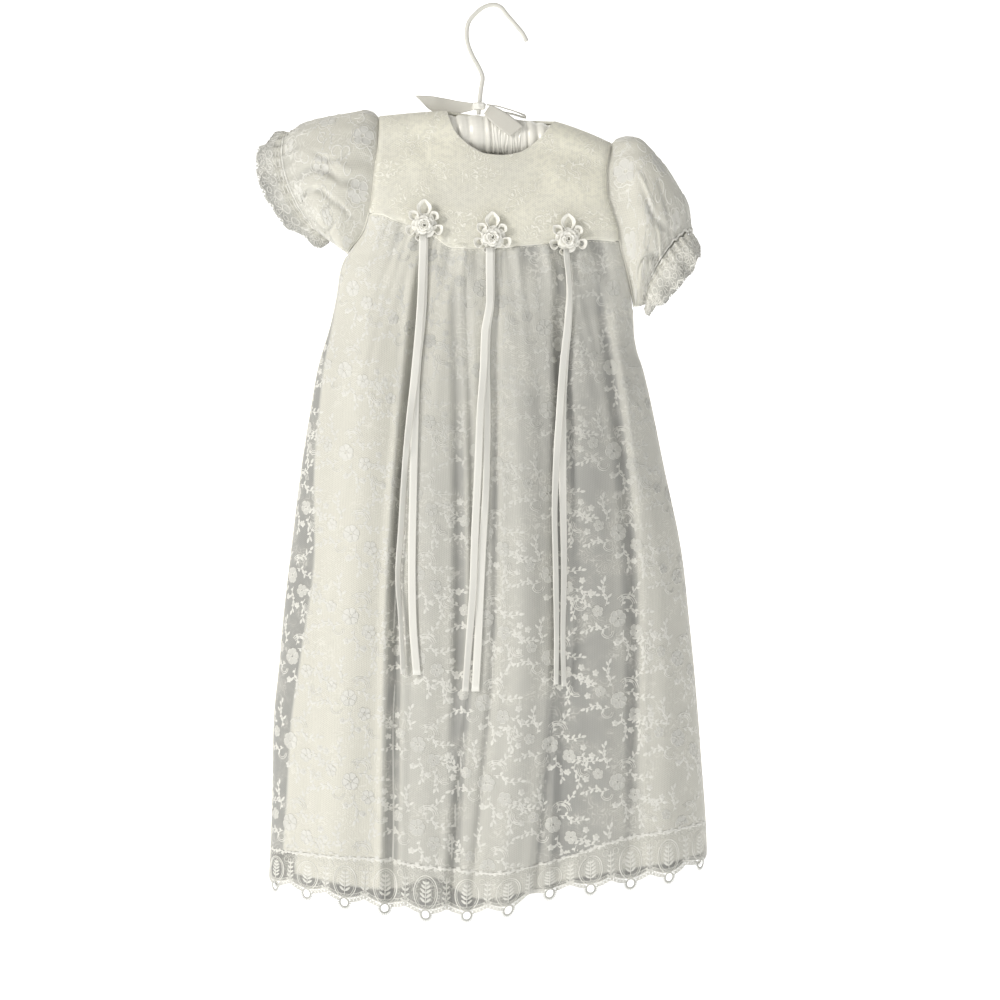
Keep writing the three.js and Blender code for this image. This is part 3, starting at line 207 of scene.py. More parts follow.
# Where the lining lies close under the lace and shows cream, free of the painted shade that greys the recesses
# between
# the bands: how strongly, how soft its edges are, and the two edges of each band as heights and places across.
Band = namedtuple("Band", "strength soft low high")
CREAM_FRONT = [
    Band(
        1, 4, [(-190, -130), (-300, -170), (-500, -200)],
        [(-199, -83.4), (-360, -82.6), (-429, -87.7), (-584, -93.7), (-773, -95.5)],
    ),
    Band(
        0.28, 14, [(-290, 22), (-417, 6.9), (-517, 2.6), (-584, -2.6), (-670, -11), (-770, -20)],
        [(-290, 26), (-417, 50), (-515, 52), (-687, 44), (-770, 40)],
    ),
    Band(
        0.5, 16, [(-300, 118), (-400, 118), (-515, 126), (-687, 114), (-770, 106)],
        [(-300, 126), (-400, 160), (-500, 200)],
    ),
]
CREAM_BACK = [
    Band(0.8, 8, [(-190, -120), (-400, -152), (-770, -170)], [(-190, -90), (-400, -104), (-770, -112)]),
    Band(0.5, 12, [(-230, -50), (-400, -60), (-770, -68)], [(-230, -36), (-400, -22), (-770, -26)]),
    Band(0.7, 9, [(-230, 14), (-400, 20), (-770, 20)], [(-230, 40), (-400, 60), (-770, 70)]),
    Band(0.5, 14, [(-240, 84), (-400, 106), (-770, 116)], [(-240, 108), (-400, 150), (-770, 170)]),
]
# Painted shade: how much the net and lining are greyed from left to right, most just right of the middle.
SHADE_ACROSS = [(-190, 0.04), (-60, 0.05), (0, 0.13), (35, 0.34), (80, 0.4), (108, 0.24), (135, 0.1), (186, 0.05)]

# Sleeves: rings from the armhole out to the cuff, each hung on a chord from its top point to its foot.
Ring = namedtuple("Ring", "v top_x top_z foot_x foot_z half front back")
Crease = namedtuple("Crease", "down v reach_down reach_v deep")
SLEEVES = {
    "left": {
        "sign": -1,
        "out": (-0.99, -0.12),
        "armhole": (-96, -216),
        "rings": [
            Ring(0, -98.9, -96.4, -127.2, -214.5, 15, -9, -9),
            Ring(0.15, -108, -90.4, -129, -213, 21, -2, -4),
            Ring(0.4, -128, -92.8, -132, -210.5, 27, 6, 2),
            Ring(0.62, -147, -96.5, -135.5, -207, 28, 12, 6),
            Ring(0.82, -163.6, -102, -138.5, -203.5, 24, 17, 8),
            Ring(1, -175.5, -110, -141, -200, 18, 19, 8),
        ],
        "lace": [
            Ring(0, -175.8, -110.1, -141.3, -200.1, 18, 19.3, 8.3),
            Ring(0.4, -180, -109.5, -142, -203.5, 21, 27, 14),
            Ring(1, -185.5, -112, -143, -208, 25, 35, 20),
        ],
        "creases": [
            Crease(0.47, 0.5, 0.055, 0.55, 3.4),
            Crease(0.64, 0.7, 0.045, 0.45, 3.2),
            Crease(0.25, 0.9, 0.1, 0.2, 1.6),
            Crease(0.555, 0.55, 0.05, 0.5, -2.0),
            Crease(0.74, 0.35, 0.04, 0.3, 2.2),
            Crease(0.3, 0.45, 0.04, 0.3, 1.6),
            Crease(0.38, 0.3, 0.05, 0.25, -1.2),
            Crease(0.84, 0.6, 0.03, 0.35, 1.6),
        ],
    },
    "right": {
        "sign": 1,
        "out": (0.78, -0.625),
        "armhole": (-119, -262),
        "rings": [
            Ring(0, 102.4, -119.5, 121.7, -260.5, 15, 9, 9),
            Ring(0.13, 110, -113.4, 123, -260.5, 21, 4, 6),
            Ring(0.28, 124, -114, 125, -260.5, 26, 0, 3),
            Ring(0.5, 143, -130, 127.5, -260, 28, -3, 0),
            Ring(0.7, 158.5, -152, 130, -259.5, 26, -6, -2),
            Ring(0.87, 170.5, -176, 132, -258.5, 22, -9, -4),
            Ring(1, 173.5, -197, 133.5, -257.5, 18, -11, -5),
        ],
        "lace": [
            Ring(0, 174.2, -197.9, 133.7, -257.8, 18, -10.7, -4.7),
            Ring(0.4, 177, -203, 133, -260.5, 21, -3, 2),
            Ring(1, 179.5, -211.5, 131.5, -265.5, 25, 8, 9),
        ],
        "creases": [
            Crease(0.35, 0.6, 0.06, 0.4, 2.8),
            Crease(0.6, 0.8, 0.055, 0.35, 2.8),
            Crease(0.47, 0.7, 0.05, 0.45, -1.8),
            Crease(0.2, 0.75, 0.05, 0.3, 2.0),
            Crease(0.75, 0.5, 0.045, 0.4, 2.0),
            Crease(0.28, 0.4, 0.04, 0.3, -1.2),
        ],
    },
}
SLEEVE_JOIN = 0.22
CAP_GATHERS = 19
CUFF_GATHERS = 26
RUFFLE_WAVES = 9
RUFFLE_OUT = 3.2
RUFFLE_SCALLOPS = 24
RUFFLE_DEEP = 2.6
CUFF_CORD_AT = 0.985
CUFF_CORD_RADIUS = 0.9
RUFFLE_STEP = 8
RUFFLE_TALL = 20
SLEEVE_ROUND = 34
SLEEVE_LONG = 78

# Rosettes on the seam and the loops round each rose: direction, start, length, width and how pointed.
Place = namedtuple("Place", "name x z")
ROSETTES = [Place("left", -59, -192.6), Place("middle", -0.4, -203.4), Place("right", 64.8, -204.7)]
Loop = namedtuple("Loop", "angle start long wide pointed")
ROSE_LOOPS = [
    Loop(90, 6, 15.5, 6.4, 1),
    Loop(138, 6, 10.5, 4.4, 1),
    Loop(42, 6.5, 8, 4.2, 0.5),
    Loop(200, 6, 9.5, 4.6, 0),
    Loop(342, 6, 9.5, 4.6, 0),
    Loop(250, 6, 7.5, 3.8, 0),
]
LOOP_BAND = 4.6
# The petals of a rose from the outer layer inwards: how many, where they start and end, how far they stand out
# and curl.
Layer = namedtuple("Layer", "count inner outer span base rise curl turn")
ROSE_LAYERS = [
    Layer(6, 3.0, 11.0, 0.72, 0.6, 2.6, 1.0, 0.0),
    Layer(5, 2.4, 8.4, 0.85, 2.4, 3.2, 1.0, 0.5),
    Layer(4, 1.6, 5.8, 1.0, 4.2, 3.4, 0.9, 1.1),
]

# Streamers: the middle of each ribbon down its length and its turn about its own line, in degrees.
STREAMER_WIDTH = 6.5
RIBBON_WALL = 1.0
TUCKED_UNDER = 7
STREAMERS = [
    ("left_1", 4, False, [
        (-208.5, -59, -8), (-258, -60.2, 0), (-326, -66, 0), (-361, -67, 10), (-416, -68.2, 8),
        (-488, -69.3, 0), (-532, -68.4, 0), (-578, -64.8, 5),
    ]),
    ("left_2", 4, True, [
        (-208.5, -60.2, 12), (-258, -62, 18), (-326, -67.5, 8), (-361, -71.5, 30), (-396, -75, 42),
        (-453, -78.5, 40), (-495, -81.3, 52), (-532, -78.8, 60), (-577, -76.5, 52),
    ]),
    ("middle_1", 4, False, [
        (-219.5, -1.6, -10), (-257, -2, -8), (-286, -5.5, 0), (-314, -6, 0), (-357, -5, 30),
        (-417, -6, 30), (-460, -8.5, 8), (-510, -11, 0), (-546, -12.5, 0), (-592, -15, 0),
    ]),
    ("middle_2", 4, True, [
        (-219.5, -3, 10), (-257, -2.8, 16), (-286, -7, 8), (-314, -8, 12), (-357, -11, 20),
        (-404, -12.8, 10), (-460, -15.5, 12), (-504, -17, 20), (-546, -20.2, 30), (-592, -23.6, 35),
    ]),
    ("right_1", 6.2, False, [
        (-220.5, 63.6, 50), (-251, 65.6, 40), (-275, 64.6, 10), (-312, 61.5, 0), (-357, 59.5, 0),
        (-400, 59.5, 10), (-440, 60, 25), (-488, 60.6, 40), (-546, 59.5, 50), (-588, 60.5, 52),
    ]),
    ("right_2", 6.2, True, [
        (-220.5, 62.5, 55), (-251, 65.4, 62), (-275, 64.2, 30), (-312, 60.2, 25), (-357, 57, 15),
        (-400, 54, 30), (-440, 52.5, 45), (-488, 53.4, 45), (-546, 54, 52), (-586, 53.6, 55),
    ]),
]

# The hanger.
HOOK_RADIUS = 1.9
TAPE_PITCH = 9.0
HOOK_LINE = [
    (-12.7, -91), (-10.6, -72), (-9.2, -61), (-12.7, -52), (-17.7, -43), (-21.7, -33), (-23, -23), (-21, -13),
    (-15, -5.6), (-8.4, -0.4), (0, 1.9), (6, 0.2), (12.2, -7), (20, -16), (26, -23.5), (29.3, -30),
]
BAR_CLEAR = 0.9
BAR_LEFT = -91
BAR_RIGHT = 95
BAR_ROUND = 16
BAR_HALF = [(-91, 11, 7.2), (-60, 14.5, 8.8), (-40, 16, 8.8), (-12, 17, 10.2), (40, 16, 10), (95, 11, 7.2)]
BAR_FOLDS = [
    (-92, 3, -0.6), (-84, 4, 0.5), (-74, 3, -0.5), (-66, 5, 0.5), (-58, 3, -0.6), (-50, 4, 0.5), (-43, 3, -0.6),
    (-37, 3.4, 0.75), (-32.5, 2.4, -1.3), (-28, 3.6, 0.75), (-21.5, 3.2, -1.2), (-15, 4.6, 0.6), (-8, 3, -1.0),
    (-5, 2.4, 0.7), (-2.6, 1.6, -1.4), (29, 1.8, -1.2), (33, 3.4, 0.75), (38, 2.8, -1.1), (43, 3.2, 0.7),
    (48, 2.2, -0.9), (56, 4, 0.5), (64, 3, -0.6), (73, 4, 0.5), (81, 3, -0.5), (89, 3, 0.4),
]
RUCHE_LEFT = -2
RUCHE_RIGHT = 28
RUCHE_PLEAT = 2.9
KNOT = {"x": -12.4, "z": -86.4, "inner": 2.7, "high": 6.2, "lean": (2.1, 19)}
# The knot's section: how far out, and how high as a share of the knot.
KNOT_PROFILE = [
    (2.7, -0.5), (4.2, -0.5), (5.1, -0.36), (5.6, -0.2), (5.5, -0.08), (5.25, 0.0), (5.5, 0.1), (5.6, 0.22),
    (5.1, 0.37), (4.2, 0.5), (2.7, 0.5), (2.7, 0.0), (2.7, -0.5),
]
# The bow's ribbons: the middle of the ribbon and its half width as a vector.
BOW_TAIL_LEFT = [
    (-17.6, 3.0, -86.4, 0.3, 0, 3.0), (-28, 5.2, -86.6, 0.3, 0, 5.0), (-40, 6.2, -85, 0.2, 0.8, 6.0),
    (-52, 5.0, -83.8, -0.5, -0.8, 6.6), (-63, 3.4, -81.6, -5.2, -0.6, 5.0),
]
BOW_TAIL_RIGHT = [
    (-5.4, -89.4, 2.6, 3.6), (1, -94.8, 4.4, 4.8), (8, -100.2, 5.4, 5.2), (14.5, -105.2, 5.6, 5.0),
    (20.5, -109.4, 5.6, 4.4),
]
BOW_LOOP = [
    (-5.6, -84.6, 3.4, 0), (3, -85.8, 5.4, 0.4), (13, -88.6, 6.4, 0.5), (22, -91.6, 6.6, 0.4),
    (27.6, -94.2, 6.4, 0), (28.6, -95.8, 6.2, 0), (26, -95.4, 6.2, 0), (18, -93, 6.2, 0), (6, -90.6, 5.2, 0),
    (-5.6, -88.6, 3.4, 0),
]
BOW_LOOP_Y = 4.2
BOW_LOOP_CLEAR = 0.9
TAIL_CLEAR = 1.3
BUTTONS = [(1, -104), (2, -140), (3, -180)]
BUTTON_RADIUS = 4.6
BUTTON_HIGH = 2.2
BUTTON_RIM = 1.0
BUTTON_SINK = 0.5
BUTTON_BEVEL = 0.35


# Small helpers for numbers and tables.
def mix(a, b, share):
    return a + (b - a) * share


def smooth(value):
    t = np.clip(value, 0, 1)
    return t * t * (3 - 2 * t)


def bump(value):
    return 0.5 * (1 + np.cos(np.pi * np.clip(value, -1, 1)))


def stack(*parts):
    return np.stack(np.broadcast_arrays(*parts), axis=-1).astype(float)


def unit(vectors):
    return vectors / (np.linalg.norm(vectors, axis=-1, keepdims=True) + 1e-9)


def running(steps):
    """How far along each point lies, from the steps between them."""
    return np.concatenate([[0], np.cumsum(steps)])


def along_line(line, closed=False):
    """The way from the point before to the point after, for each point of a line."""
    if closed:
        return np.roll(line, -1, 0) - np.roll(line, 1, 0)
    return np.vstack([line[1:], line[-1:]]) - np.vstack([line[:1], line[:-1]])


class Curve:
    """A smooth curve through the rows of a table, level beyond its ends and without overshoot."""

    def __init__(self, rows):
        rows = sorted(rows)
        self.at = np.array([row[0] for row in rows], float)
        self.to = np.array([row[1] for row in rows], float)
        rise = np.diff(self.to) / np.diff(self.at)
        self.slope = np.zeros(len(rows))
        self.slope[0] = rise[0]
        self.slope[-1] = rise[-1]
        before = rise[:-1]
        after = rise[1:]
        safe = np.where(before + after == 0, 1, before + after)
        self.slope[1:-1] = np.where(before * after <= 0, 0, 2 * before * after / safe)

    def __call__(self, value):
        v = np.clip(value, self.at[0], self.at[-1])
        i = np.clip(np.searchsorted(self.at, v, side="left") - 1, 0, len(self.at) - 2)
        span = self.at[i + 1] - self.at[i]
        t = (v - self.at[i]) / span
        t2 = t * t
        t3 = t2 * t
        start = self.to[i] * (2 * t3 - 3 * t2 + 1) + self.slope[i] * span * (t3 - 2 * t2 + t)
        return start + self.to[i + 1] * (3 * t2 - 2 * t3) + self.slope[i + 1] * span * (t3 - t2)


left_edge = Curve(LEFT_EDGE)
right_edge = Curve(RIGHT_EDGE)
lining_left_in = Curve(LINING_LEFT_IN)
shoulder = Curve(SHOULDER)
neck_front = Curve(NECK_FRONT)
yoke_seam = Curve(YOKE_SEAM)
body_half = Curve(BODY_HALF)
heading = Curve(HEADING)
scallop_base = Curve(SCALLOP_BASE)
lining_hem = Curve(LINING_HEM)
shade_across = Curve(SHADE_ACROSS)


def with_line(fold):
    rows = [(float(yoke_seam(fold.seam)), fold.seam), (FOLD_MID_Z, fold.mid), (FOLD_HEM_Z, fold.hem)]
    return fold, Curve(rows)


FOLDS = {
    "front": [with_line(fold) for fold in FRONT_FOLDS + FRONT_CREASES],
    "back": [with_line(fold) for fold in BACK_FOLDS + BACK_CREASES],
}
GATHERS = {"front": FRONT_GATHERS, "back": BACK_GATHERS}
CREAM = {
    side: [(band, Curve(band.low), Curve(band.high)) for band in bands]
    for side, bands in (("front", CREAM_FRONT), ("back", CREAM_BACK))
}


def armhole_half(side, z):
    top, under = SLEEVES[side]["armhole"]
    share = np.clip((top - z) / (top - under), 0, 1)
    return ARMHOLE_HALF * np.power(np.sin(np.pi * share).clip(0), ARMHOLE_POWER)


def roll(below):
    t = np.clip(below / ROLL_HEIGHT, 0, 1)
    return np.sqrt(1 - (1 - t) * (1 - t))


def lens_half(x, z):
    """Half the depth of the body at a place, without its folds."""
    left = left_edge(z)
    right = right_edge(z)
    u = np.clip((x - left) / (right - left), 0, 1)
    below = np.maximum(0, shoulder(x) - z)
    edge = mix(armhole_half("left", z), armhole_half("right", z), u)
    crown = body_half(below)
    power = mix(ROLL_POWER, BODY_POWER, smooth(below / ROLL_FADE))
    lens = np.power(2 * np.sqrt(u * (1 - u)), power)
    return HALF_GAP + roll(below) * (edge + (crown - edge) * lens)


def fine_gathers(x, down, shift):
    """The small uneven pleats that run down from the seam."""
    place = x / (1 + down / GATHER_SPREAD)
    wander = 5.5 * np.sin(place / 17 + shift) + 3.2 * np.sin(place / 7.3 + 2 * shift)
    near = 0.4 * np.sin((place + wander) * 2 * np.pi / NEAR_PLEAT) * np.exp(-down / NEAR_PLEAT_RUN)
    near = near * (0.6 + 0.6 * np.sin(place / 9 + shift))
    far = 0.5 * np.sin((place - 1.6 * wander) * 2 * np.pi / FAR_PLEAT + 1) * np.exp(-down / FAR_PLEAT_RUN)
    return (near + far) * smooth(down / 3)


def fold_out(side, x, z):
    """The folds and gathers of a face of the skirt at a place, outwards."""
    down = np.maximum(0, yoke_seam(x) - z)
    fade = smooth(np.minimum(x - left_edge(z), right_edge(z) - x) / EDGE_FADE)
    out = fine_gathers(x, down, 0.4 if side == "front" else 1.9)
    for fold, line in FOLDS[side]:
        away = x - line(z)
        out = out + fold.out * smooth(down / fold.grow) * bump(away / np.where(away < 0, fold.left, fold.right))
    for gather in GATHERS[side]:
        share = 1 - down / gather.run
        out = out + gather.out * smooth(share) * bump((x / (1 + down / GATHER_SPREAD) - gather.x) / gather.reach)
    return out * fade * (down > 0)


def yoke_drag(x, z):
    """Soft drag lines of the yoke, from the shoulders inwards."""
    below = shoulder(x) - z
    lines = 0.5 * bump((x + 84 - below * 0.35) / 9) * bump((below - 45) / 45)
    lines = lines - 0.6 * bump((x + 72 - below * 0.4) / 8) * bump((below - 50) / 45)
    lines = lines + 0.5 * bump((x - 70 + below * 0.25) / 10) * bump((below - 45) / 45)
    lines = lines - 0.5 * bump((x - 58 + below * 0.3) / 8) * bump((below - 50) / 40)
    return lines * (z > yoke_seam(x))


def face_y(side, x, z):
    """How far forward or back the outer face of the gown stands at a place."""
    if side == "front":
        return -(lens_half(x, z) + fold_out("front", x, z) + yoke_drag(x, z))
    share = mix(1, BACK_DEPTH, smooth((shoulder(x) - z) / BACK_FADE))
    return lens_half(x, z) * share + fold_out("back", x, z)


ARC_STEPS = 400
ARC_FLAT = float(body_half(700)) / 190
ARC_TURN = np.linspace(0, np.pi, ARC_STEPS + 1)
ARC_SHARES = running(np.hypot(np.diff(np.cos(ARC_TURN)), np.diff(np.sin(ARC_TURN)) * ARC_FLAT))


def across(share):
    """The share across the body at a share of the way along the lens's own outline."""
    wanted = np.clip(share, 0, 1) * ARC_SHARES[-1]
    return (1 - np.cos(np.interp(wanted, ARC_SHARES, ARC_TURN))) / 2


def panel_width(z):
    """The width of a face of the skirt at a height, measured round its outline."""
    return (right_edge(z) - left_edge(z)) / 2 * ARC_SHARES[-1]


def panel_point(side, share, z):
    x = mix(left_edge(z), right_edge(z), across(share))
    return stack(x, face_y(side, x, z), z)


def cream_share(side, x, z):
    """One where the lining lies close under the lace, and nought where it hangs back from it and painted shade
    greys the cloth.
    """
    tone = np.zeros(np.broadcast(x, z).shape)
    for band, low, high in CREAM[side]:
        inside = smooth((x - low(z)) / band.soft + 0.5) * smooth((high(z) - x) / band.soft + 0.5)
        tone = np.maximum(tone, band.strength * inside)
    return tone


# Meshes and objects.
def new_object(name, points, faces, material, smooth_faces=True, uv=None, tone=None):
    """A mesh object from points in millimetres; uv and tone are given for each point."""
    mesh = bpy.data.meshes.new(name)
    corners_of = faces.tolist() if isinstance(faces, np.ndarray) else faces
    mesh.from_pydata((np.asarray(points) * MM).tolist(), [], corners_of)
    corners = np.zeros(len(mesh.loops), int)
    mesh.loops.foreach_get("vertex_index", corners)
    if uv is not None:
        layer = mesh.uv_layers.new(name="cloth")
        layer.data.foreach_set("uv", (np.asarray(uv)[corners] * MM).astype(np.float32).ravel())
    if tone is not None:
        layer = mesh.attributes.new("tone", "FLOAT", "POINT")
        layer.data.foreach_set("value", np.asarray(tone, np.float32).ravel())
    mesh.polygons.foreach_set("use_smooth", [smooth_faces] * len(mesh.polygons))
    mesh.materials.append(material)
    mesh.update()
    made = bpy.data.objects.new(name, mesh)
    bpy.context.scene.collection.objects.link(made)
    return made


def select_nothing():
    for other in bpy.context.selected_objects:
        other.select_set(False)


def only(made):
    """Select one object alone and make it active."""
    select_nothing()
    made.select_set(True)
    bpy.context.view_layer.objects.active = made


def finish_with(made, kind, settings):
    """Give an object a modifier and apply it."""
    only(made)
    step = made.modifiers.new(kind.lower(), kind)
    for name, value in settings.items():
        setattr(step, name, value)
    bpy.ops.object.modifier_apply(modifier=step.name)


def weld(made, distance=0.01):
    """Merge the points that lie together."""
    only(made)
    bpy.ops.object.mode_set(mode="EDIT")
    bpy.ops.mesh.select_all(action="SELECT")
    bpy.ops.mesh.remove_doubles(threshold=distance * MM)
    bpy.ops.object.mode_set(mode="OBJECT")


def grid_faces(rows, columns, flip):
    """The four-sided faces of a grid of points."""
    j, i = np.meshgrid(np.arange(rows - 1), np.arange(columns - 1), indexing="ij")
    a = (j * columns + i).ravel()
    faces = np.stack([a, a + 1, a + columns + 1, a + columns], 1)
    return faces[:, ::-1] if flip else faces


def sheet_object(name, grid, material, wall=0, flip=False, uv=None, tone=1.0, joined=False):
    """A sheet of cloth from a grid of points on its outer face."""
    rows, columns = grid.shape[:2]
    if uv is None:
        along = np.linalg.norm(np.diff(grid, axis=1), axis=2).mean(axis=0)
        down = np.linalg.norm(np.diff(grid, axis=0), axis=2).mean(axis=1)
        uv = stack(running(along)[None, :], -running(down)[:, None])
    faces = grid_faces(rows, columns, flip)
    tones = np.broadcast_to(tone, (rows, columns)).ravel()
    made = new_object(name, grid.reshape(-1, 3), faces, material, True, uv.reshape(-1, 2), tones)
    if joined:
        weld(made)
    if wall:
        settings = {"thickness": wall * MM, "offset": -1, "use_even_offset": False, "use_quality_normals": True}
        finish_with(made, "SOLIDIFY", settings)
    return made


def tube_object(name, line, radius, material, sides=8, wrap=None, closed=False, tone=0.8):
    """A round thread or piping along a line of points; radius is one number or one for each point."""
    line = np.asarray(line, float)
    along = along_line(line, closed)
    along /= np.linalg.norm(along, axis=1, keepdims=True)
    reference = np.array([0.0, 1.0, 0.0])
    aside = np.cross(along, reference)
    weak = np.linalg.norm(aside, axis=1) < 0.2
    aside[weak] = np.cross(along[weak], np.array([1.0, 0.0, 0.0]))
    aside /= np.linalg.norm(aside, axis=1, keepdims=True)
    other = np.cross(along, aside)
    turn = np.linspace(0, 2 * np.pi, sides, endpoint=False)
    size = np.broadcast_to(radius, len(line)).reshape(-1, 1) * np.ones((1, sides))
    if wrap is not None:
        size = size * wrap(np.arange(len(line))[:, None], turn[None, :])
    ring = aside[:, None, :] * np.cos(turn)[None, :, None] + other[:, None, :] * np.sin(turn)[None, :, None]
    points = (line[:, None, :] + ring * size[:, :, None]).reshape(-1, 3)
    faces = []
    count = len(line)
    for k in range(count if closed else count - 1):
        for i in range(sides):
            a = k * sides + i
            b = k * sides + (i + 1) % sides
            step = ((k + 1) % count) * sides
            faces.append((a, step + i, step + (i + 1) % sides, b))
    if not closed:
        faces.append(tuple(range(sides)))
        faces.append(tuple(range((count - 1) * sides, count * sides))[::-1])
    return new_object(name, points, faces, material, tone=np.full(len(points), tone))


def joined_object(name, parts):
    """Join several objects into one, under a new name."""
    select_nothing()
    for part in parts:
        part.select_set(True)
    bpy.context.view_layer.objects.active = parts[0]
    bpy.ops.object.join()
    parts[0].name = name
    parts[0].data.name = name
    return parts[0]


def place_on_gown(made, slot, *nodes):
    """Let a piece ride with the gown and hide the solids that it stands for; its finish, the slot, is not used."""
    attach(made, "root")
    if nodes:
        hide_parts(*nodes)


# Thread work: drawn flat as across, down and height off the cloth, then laid on a surface.
class ThreadWork:
    """Raised threads and padded shapes of one lace motif."""

    def __init__(self):
        self.points = []
        self.bright = []
        self.faces = []

    def thread(self, line, wide, high, closed=False, bright=1.0):
        line = np.asarray(line, float)
        along = unit(along_line(line, closed))
        aside = np.stack([-along[:, 1], along[:, 0]], 1) * wide / 2
        first = len(self.points)
        for point, side in zip(line, aside):
            self.points.append((point[0] + side[0], point[1] + side[1], 0.02))
            self.points.append((point[0], point[1], high))
            self.points.append((point[0] - side[0], point[1] - side[1], 0.02))
            self.bright += [bright] * 3
        count = len(line)
        for k in range(count if closed else count - 1):
            a = first + 3 * k
            b = first + 3 * ((k + 1) % count)
            for i in (0, 1):
                self.faces.append((a + i, b + i, b + i + 1))
                self.faces.append((a + i, b + i + 1, a + i + 1))

    def pad(self, outline, high, bright=0.9):
        outline = np.asarray(outline, float)
        self.bright += [bright] * (len(outline) + 1)
        middle = outline.mean(axis=0)
        first = len(self.points)
        self.points.append((middle[0], middle[1], high))
        for point in outline:
            self.points.append((point[0], point[1], 0.05))
        count = len(outline)
        for k in range(count):
            self.faces.append((first, first + 1 + k, first + 1 + (k + 1) % count))

    def arrays(self):
        return np.array(self.points), np.array(self.faces, int), np.array(self.bright)


Spot = namedtuple("Spot", "across down turn mirror size")


def lay(name, work, spots, surface, material, inside=None, tone_at=None):
    """Lay copies of a motif on a surface as one object; tone_at says how bright its thread is at a point."""
    flat, corners, bright = work.arrays()
    bright = np.tile(bright, len(spots))
    points = []
    faces = []
    for spot in spots:
        cosine = math.cos(spot.turn)
        sine = math.sin(spot.turn)
        side = flat[:, 0] * spot.mirror * spot.size
        down = flat[:, 1] * spot.size
        faces.append(corners + sum(len(part) for part in points))
        points.append(
            stack(spot.across + side * cosine - down * sine, spot.down + side * sine + down * cosine, flat[:, 2])
        )
    points = np.vstack(points)
    faces = np.vstack(faces)
    if inside is not None:
        good = inside(points[:, 0], points[:, 1])
        faces = faces[good[faces].all(axis=1)]
        used, faces = np.unique(faces, return_inverse=True)
        faces = faces.reshape(-1, 3)
        points = points[used]
        bright = bright[used]
    at, out = surface(points[:, 0], points[:, 1])
    placed = at + out * points[:, 2:3]
    normal = np.cross(placed[faces[:, 1]] - placed[faces[:, 0]], placed[faces[:, 2]] - placed[faces[:, 0]])
    wrong = (normal * out[faces[:, 0]]).sum(axis=1) < 0
    faces[wrong] = faces[wrong][:, ::-1]
    tone = bright if tone_at is None else tone_at(bright, placed[:, 0], placed[:, 2])
    return new_object(name, placed, faces, material, tone=tone)


def surface_of(point, sign, step=0.3):
    """A surface that also gives its own way out, from a function of two numbers."""

    def surface(a, d):
        at = point(a, d)
        wide = point(a + step, d) - point(a - step, d)
        tall = point(a, d + step) - point(a, d - step)
        return at, unit(np.cross(wide, tall) * sign)

    return surface


def circle(x, y, radius, steps, start=0.0, end=2 * math.pi, closed=True):
    turn = np.linspace(start, end, steps, endpoint=not closed)
    return stack(x + radius * np.cos(turn), y + radius * np.sin(turn))


def scalloped(x, y, radius, petals, deep, steps, turn=0.0):
    angle = np.linspace(0, 2 * math.pi, steps, endpoint=False)
    reach = radius * (1 - deep * (1 - np.abs(np.sin(petals * angle / 2))))
    return stack(x + reach * np.cos(angle + turn), y + reach * np.sin(angle + turn))


def curve_through(points, steps):
    """A smooth line through a few points."""
    points = np.asarray(points, float)
    known = np.arange(len(points))
    wanted = np.linspace(0, len(points) - 1, steps)
    columns = [Curve(list(zip(known, points[:, k])))(wanted) for k in range(points.shape[1])]
    return stack(*columns)


def leaf(x, y, angle, long, wide):
    along = np.array([math.cos(angle), math.sin(angle)])
    side = np.array([-along[1], along[0]])
    start = np.array([x, y])
    shape = [(0, 0), (0.35, 0.5), (0.75, 0.4), (1, 0), (0.75, -0.4), (0.35, -0.5)]
    return np.array([start + along * a * long + side * b * wide for a, b in shape])


def rose(work, x, y, radius, petals=5, turn=0.0):
    """An open rose: scalloped petals side by side round a small ring."""
    for k in range(petals):
        angle = turn + 2 * math.pi * k / petals
        size = radius * (0.4 + 0.03 * (k % 2))
        outline = scalloped(
            x + radius * 0.6 * math.cos(angle), y + radius * 0.6 * math.sin(angle), size, 3, 0.2, 12, angle
        )
        work.pad(outline, 0.4, 0.45)
        work.thread(outline, 0.7, 0.6, closed=True, bright=0.85)
    work.thread(circle(x, y, radius * 0.2, 8), 0.9, 0.7, closed=True)


def spray(work, points, leaves, long, wide, thread=0.75, steps=14):
    """A stem with leaves on either side of it by turns."""
    line = curve_through(points, steps)
    work.thread(line, thread, 0.45)
    for k in range(leaves):
        place = 1 + int((steps - 2) * (k + 0.5) / leaves)
        along = line[min(place + 1, steps - 1)] - line[place - 1]
        angle = math.atan2(along[1], along[0]) + (0.85 if k % 2 else -0.85)
        work.pad(leaf(line[place][0], line[place][1], angle, long * (0.65 + 0.2 * (k % 3)), wide * 0.85), 0.4)
    end = line[-1] - line[-2]
    work.pad(leaf(line[-1][0], line[-1][1], math.atan2(end[1], end[0]), long, wide), 0.4)


def hank(work, x, y, radius, start, end, strands=3, gap=1.7, wide=0.7):
    """Arcs that run side by side, like the turns of a ribbon."""
    for k in range(strands):
        work.thread(circle(x, y, radius - k * gap, 11, start, end, closed=False), wide, 0.5)


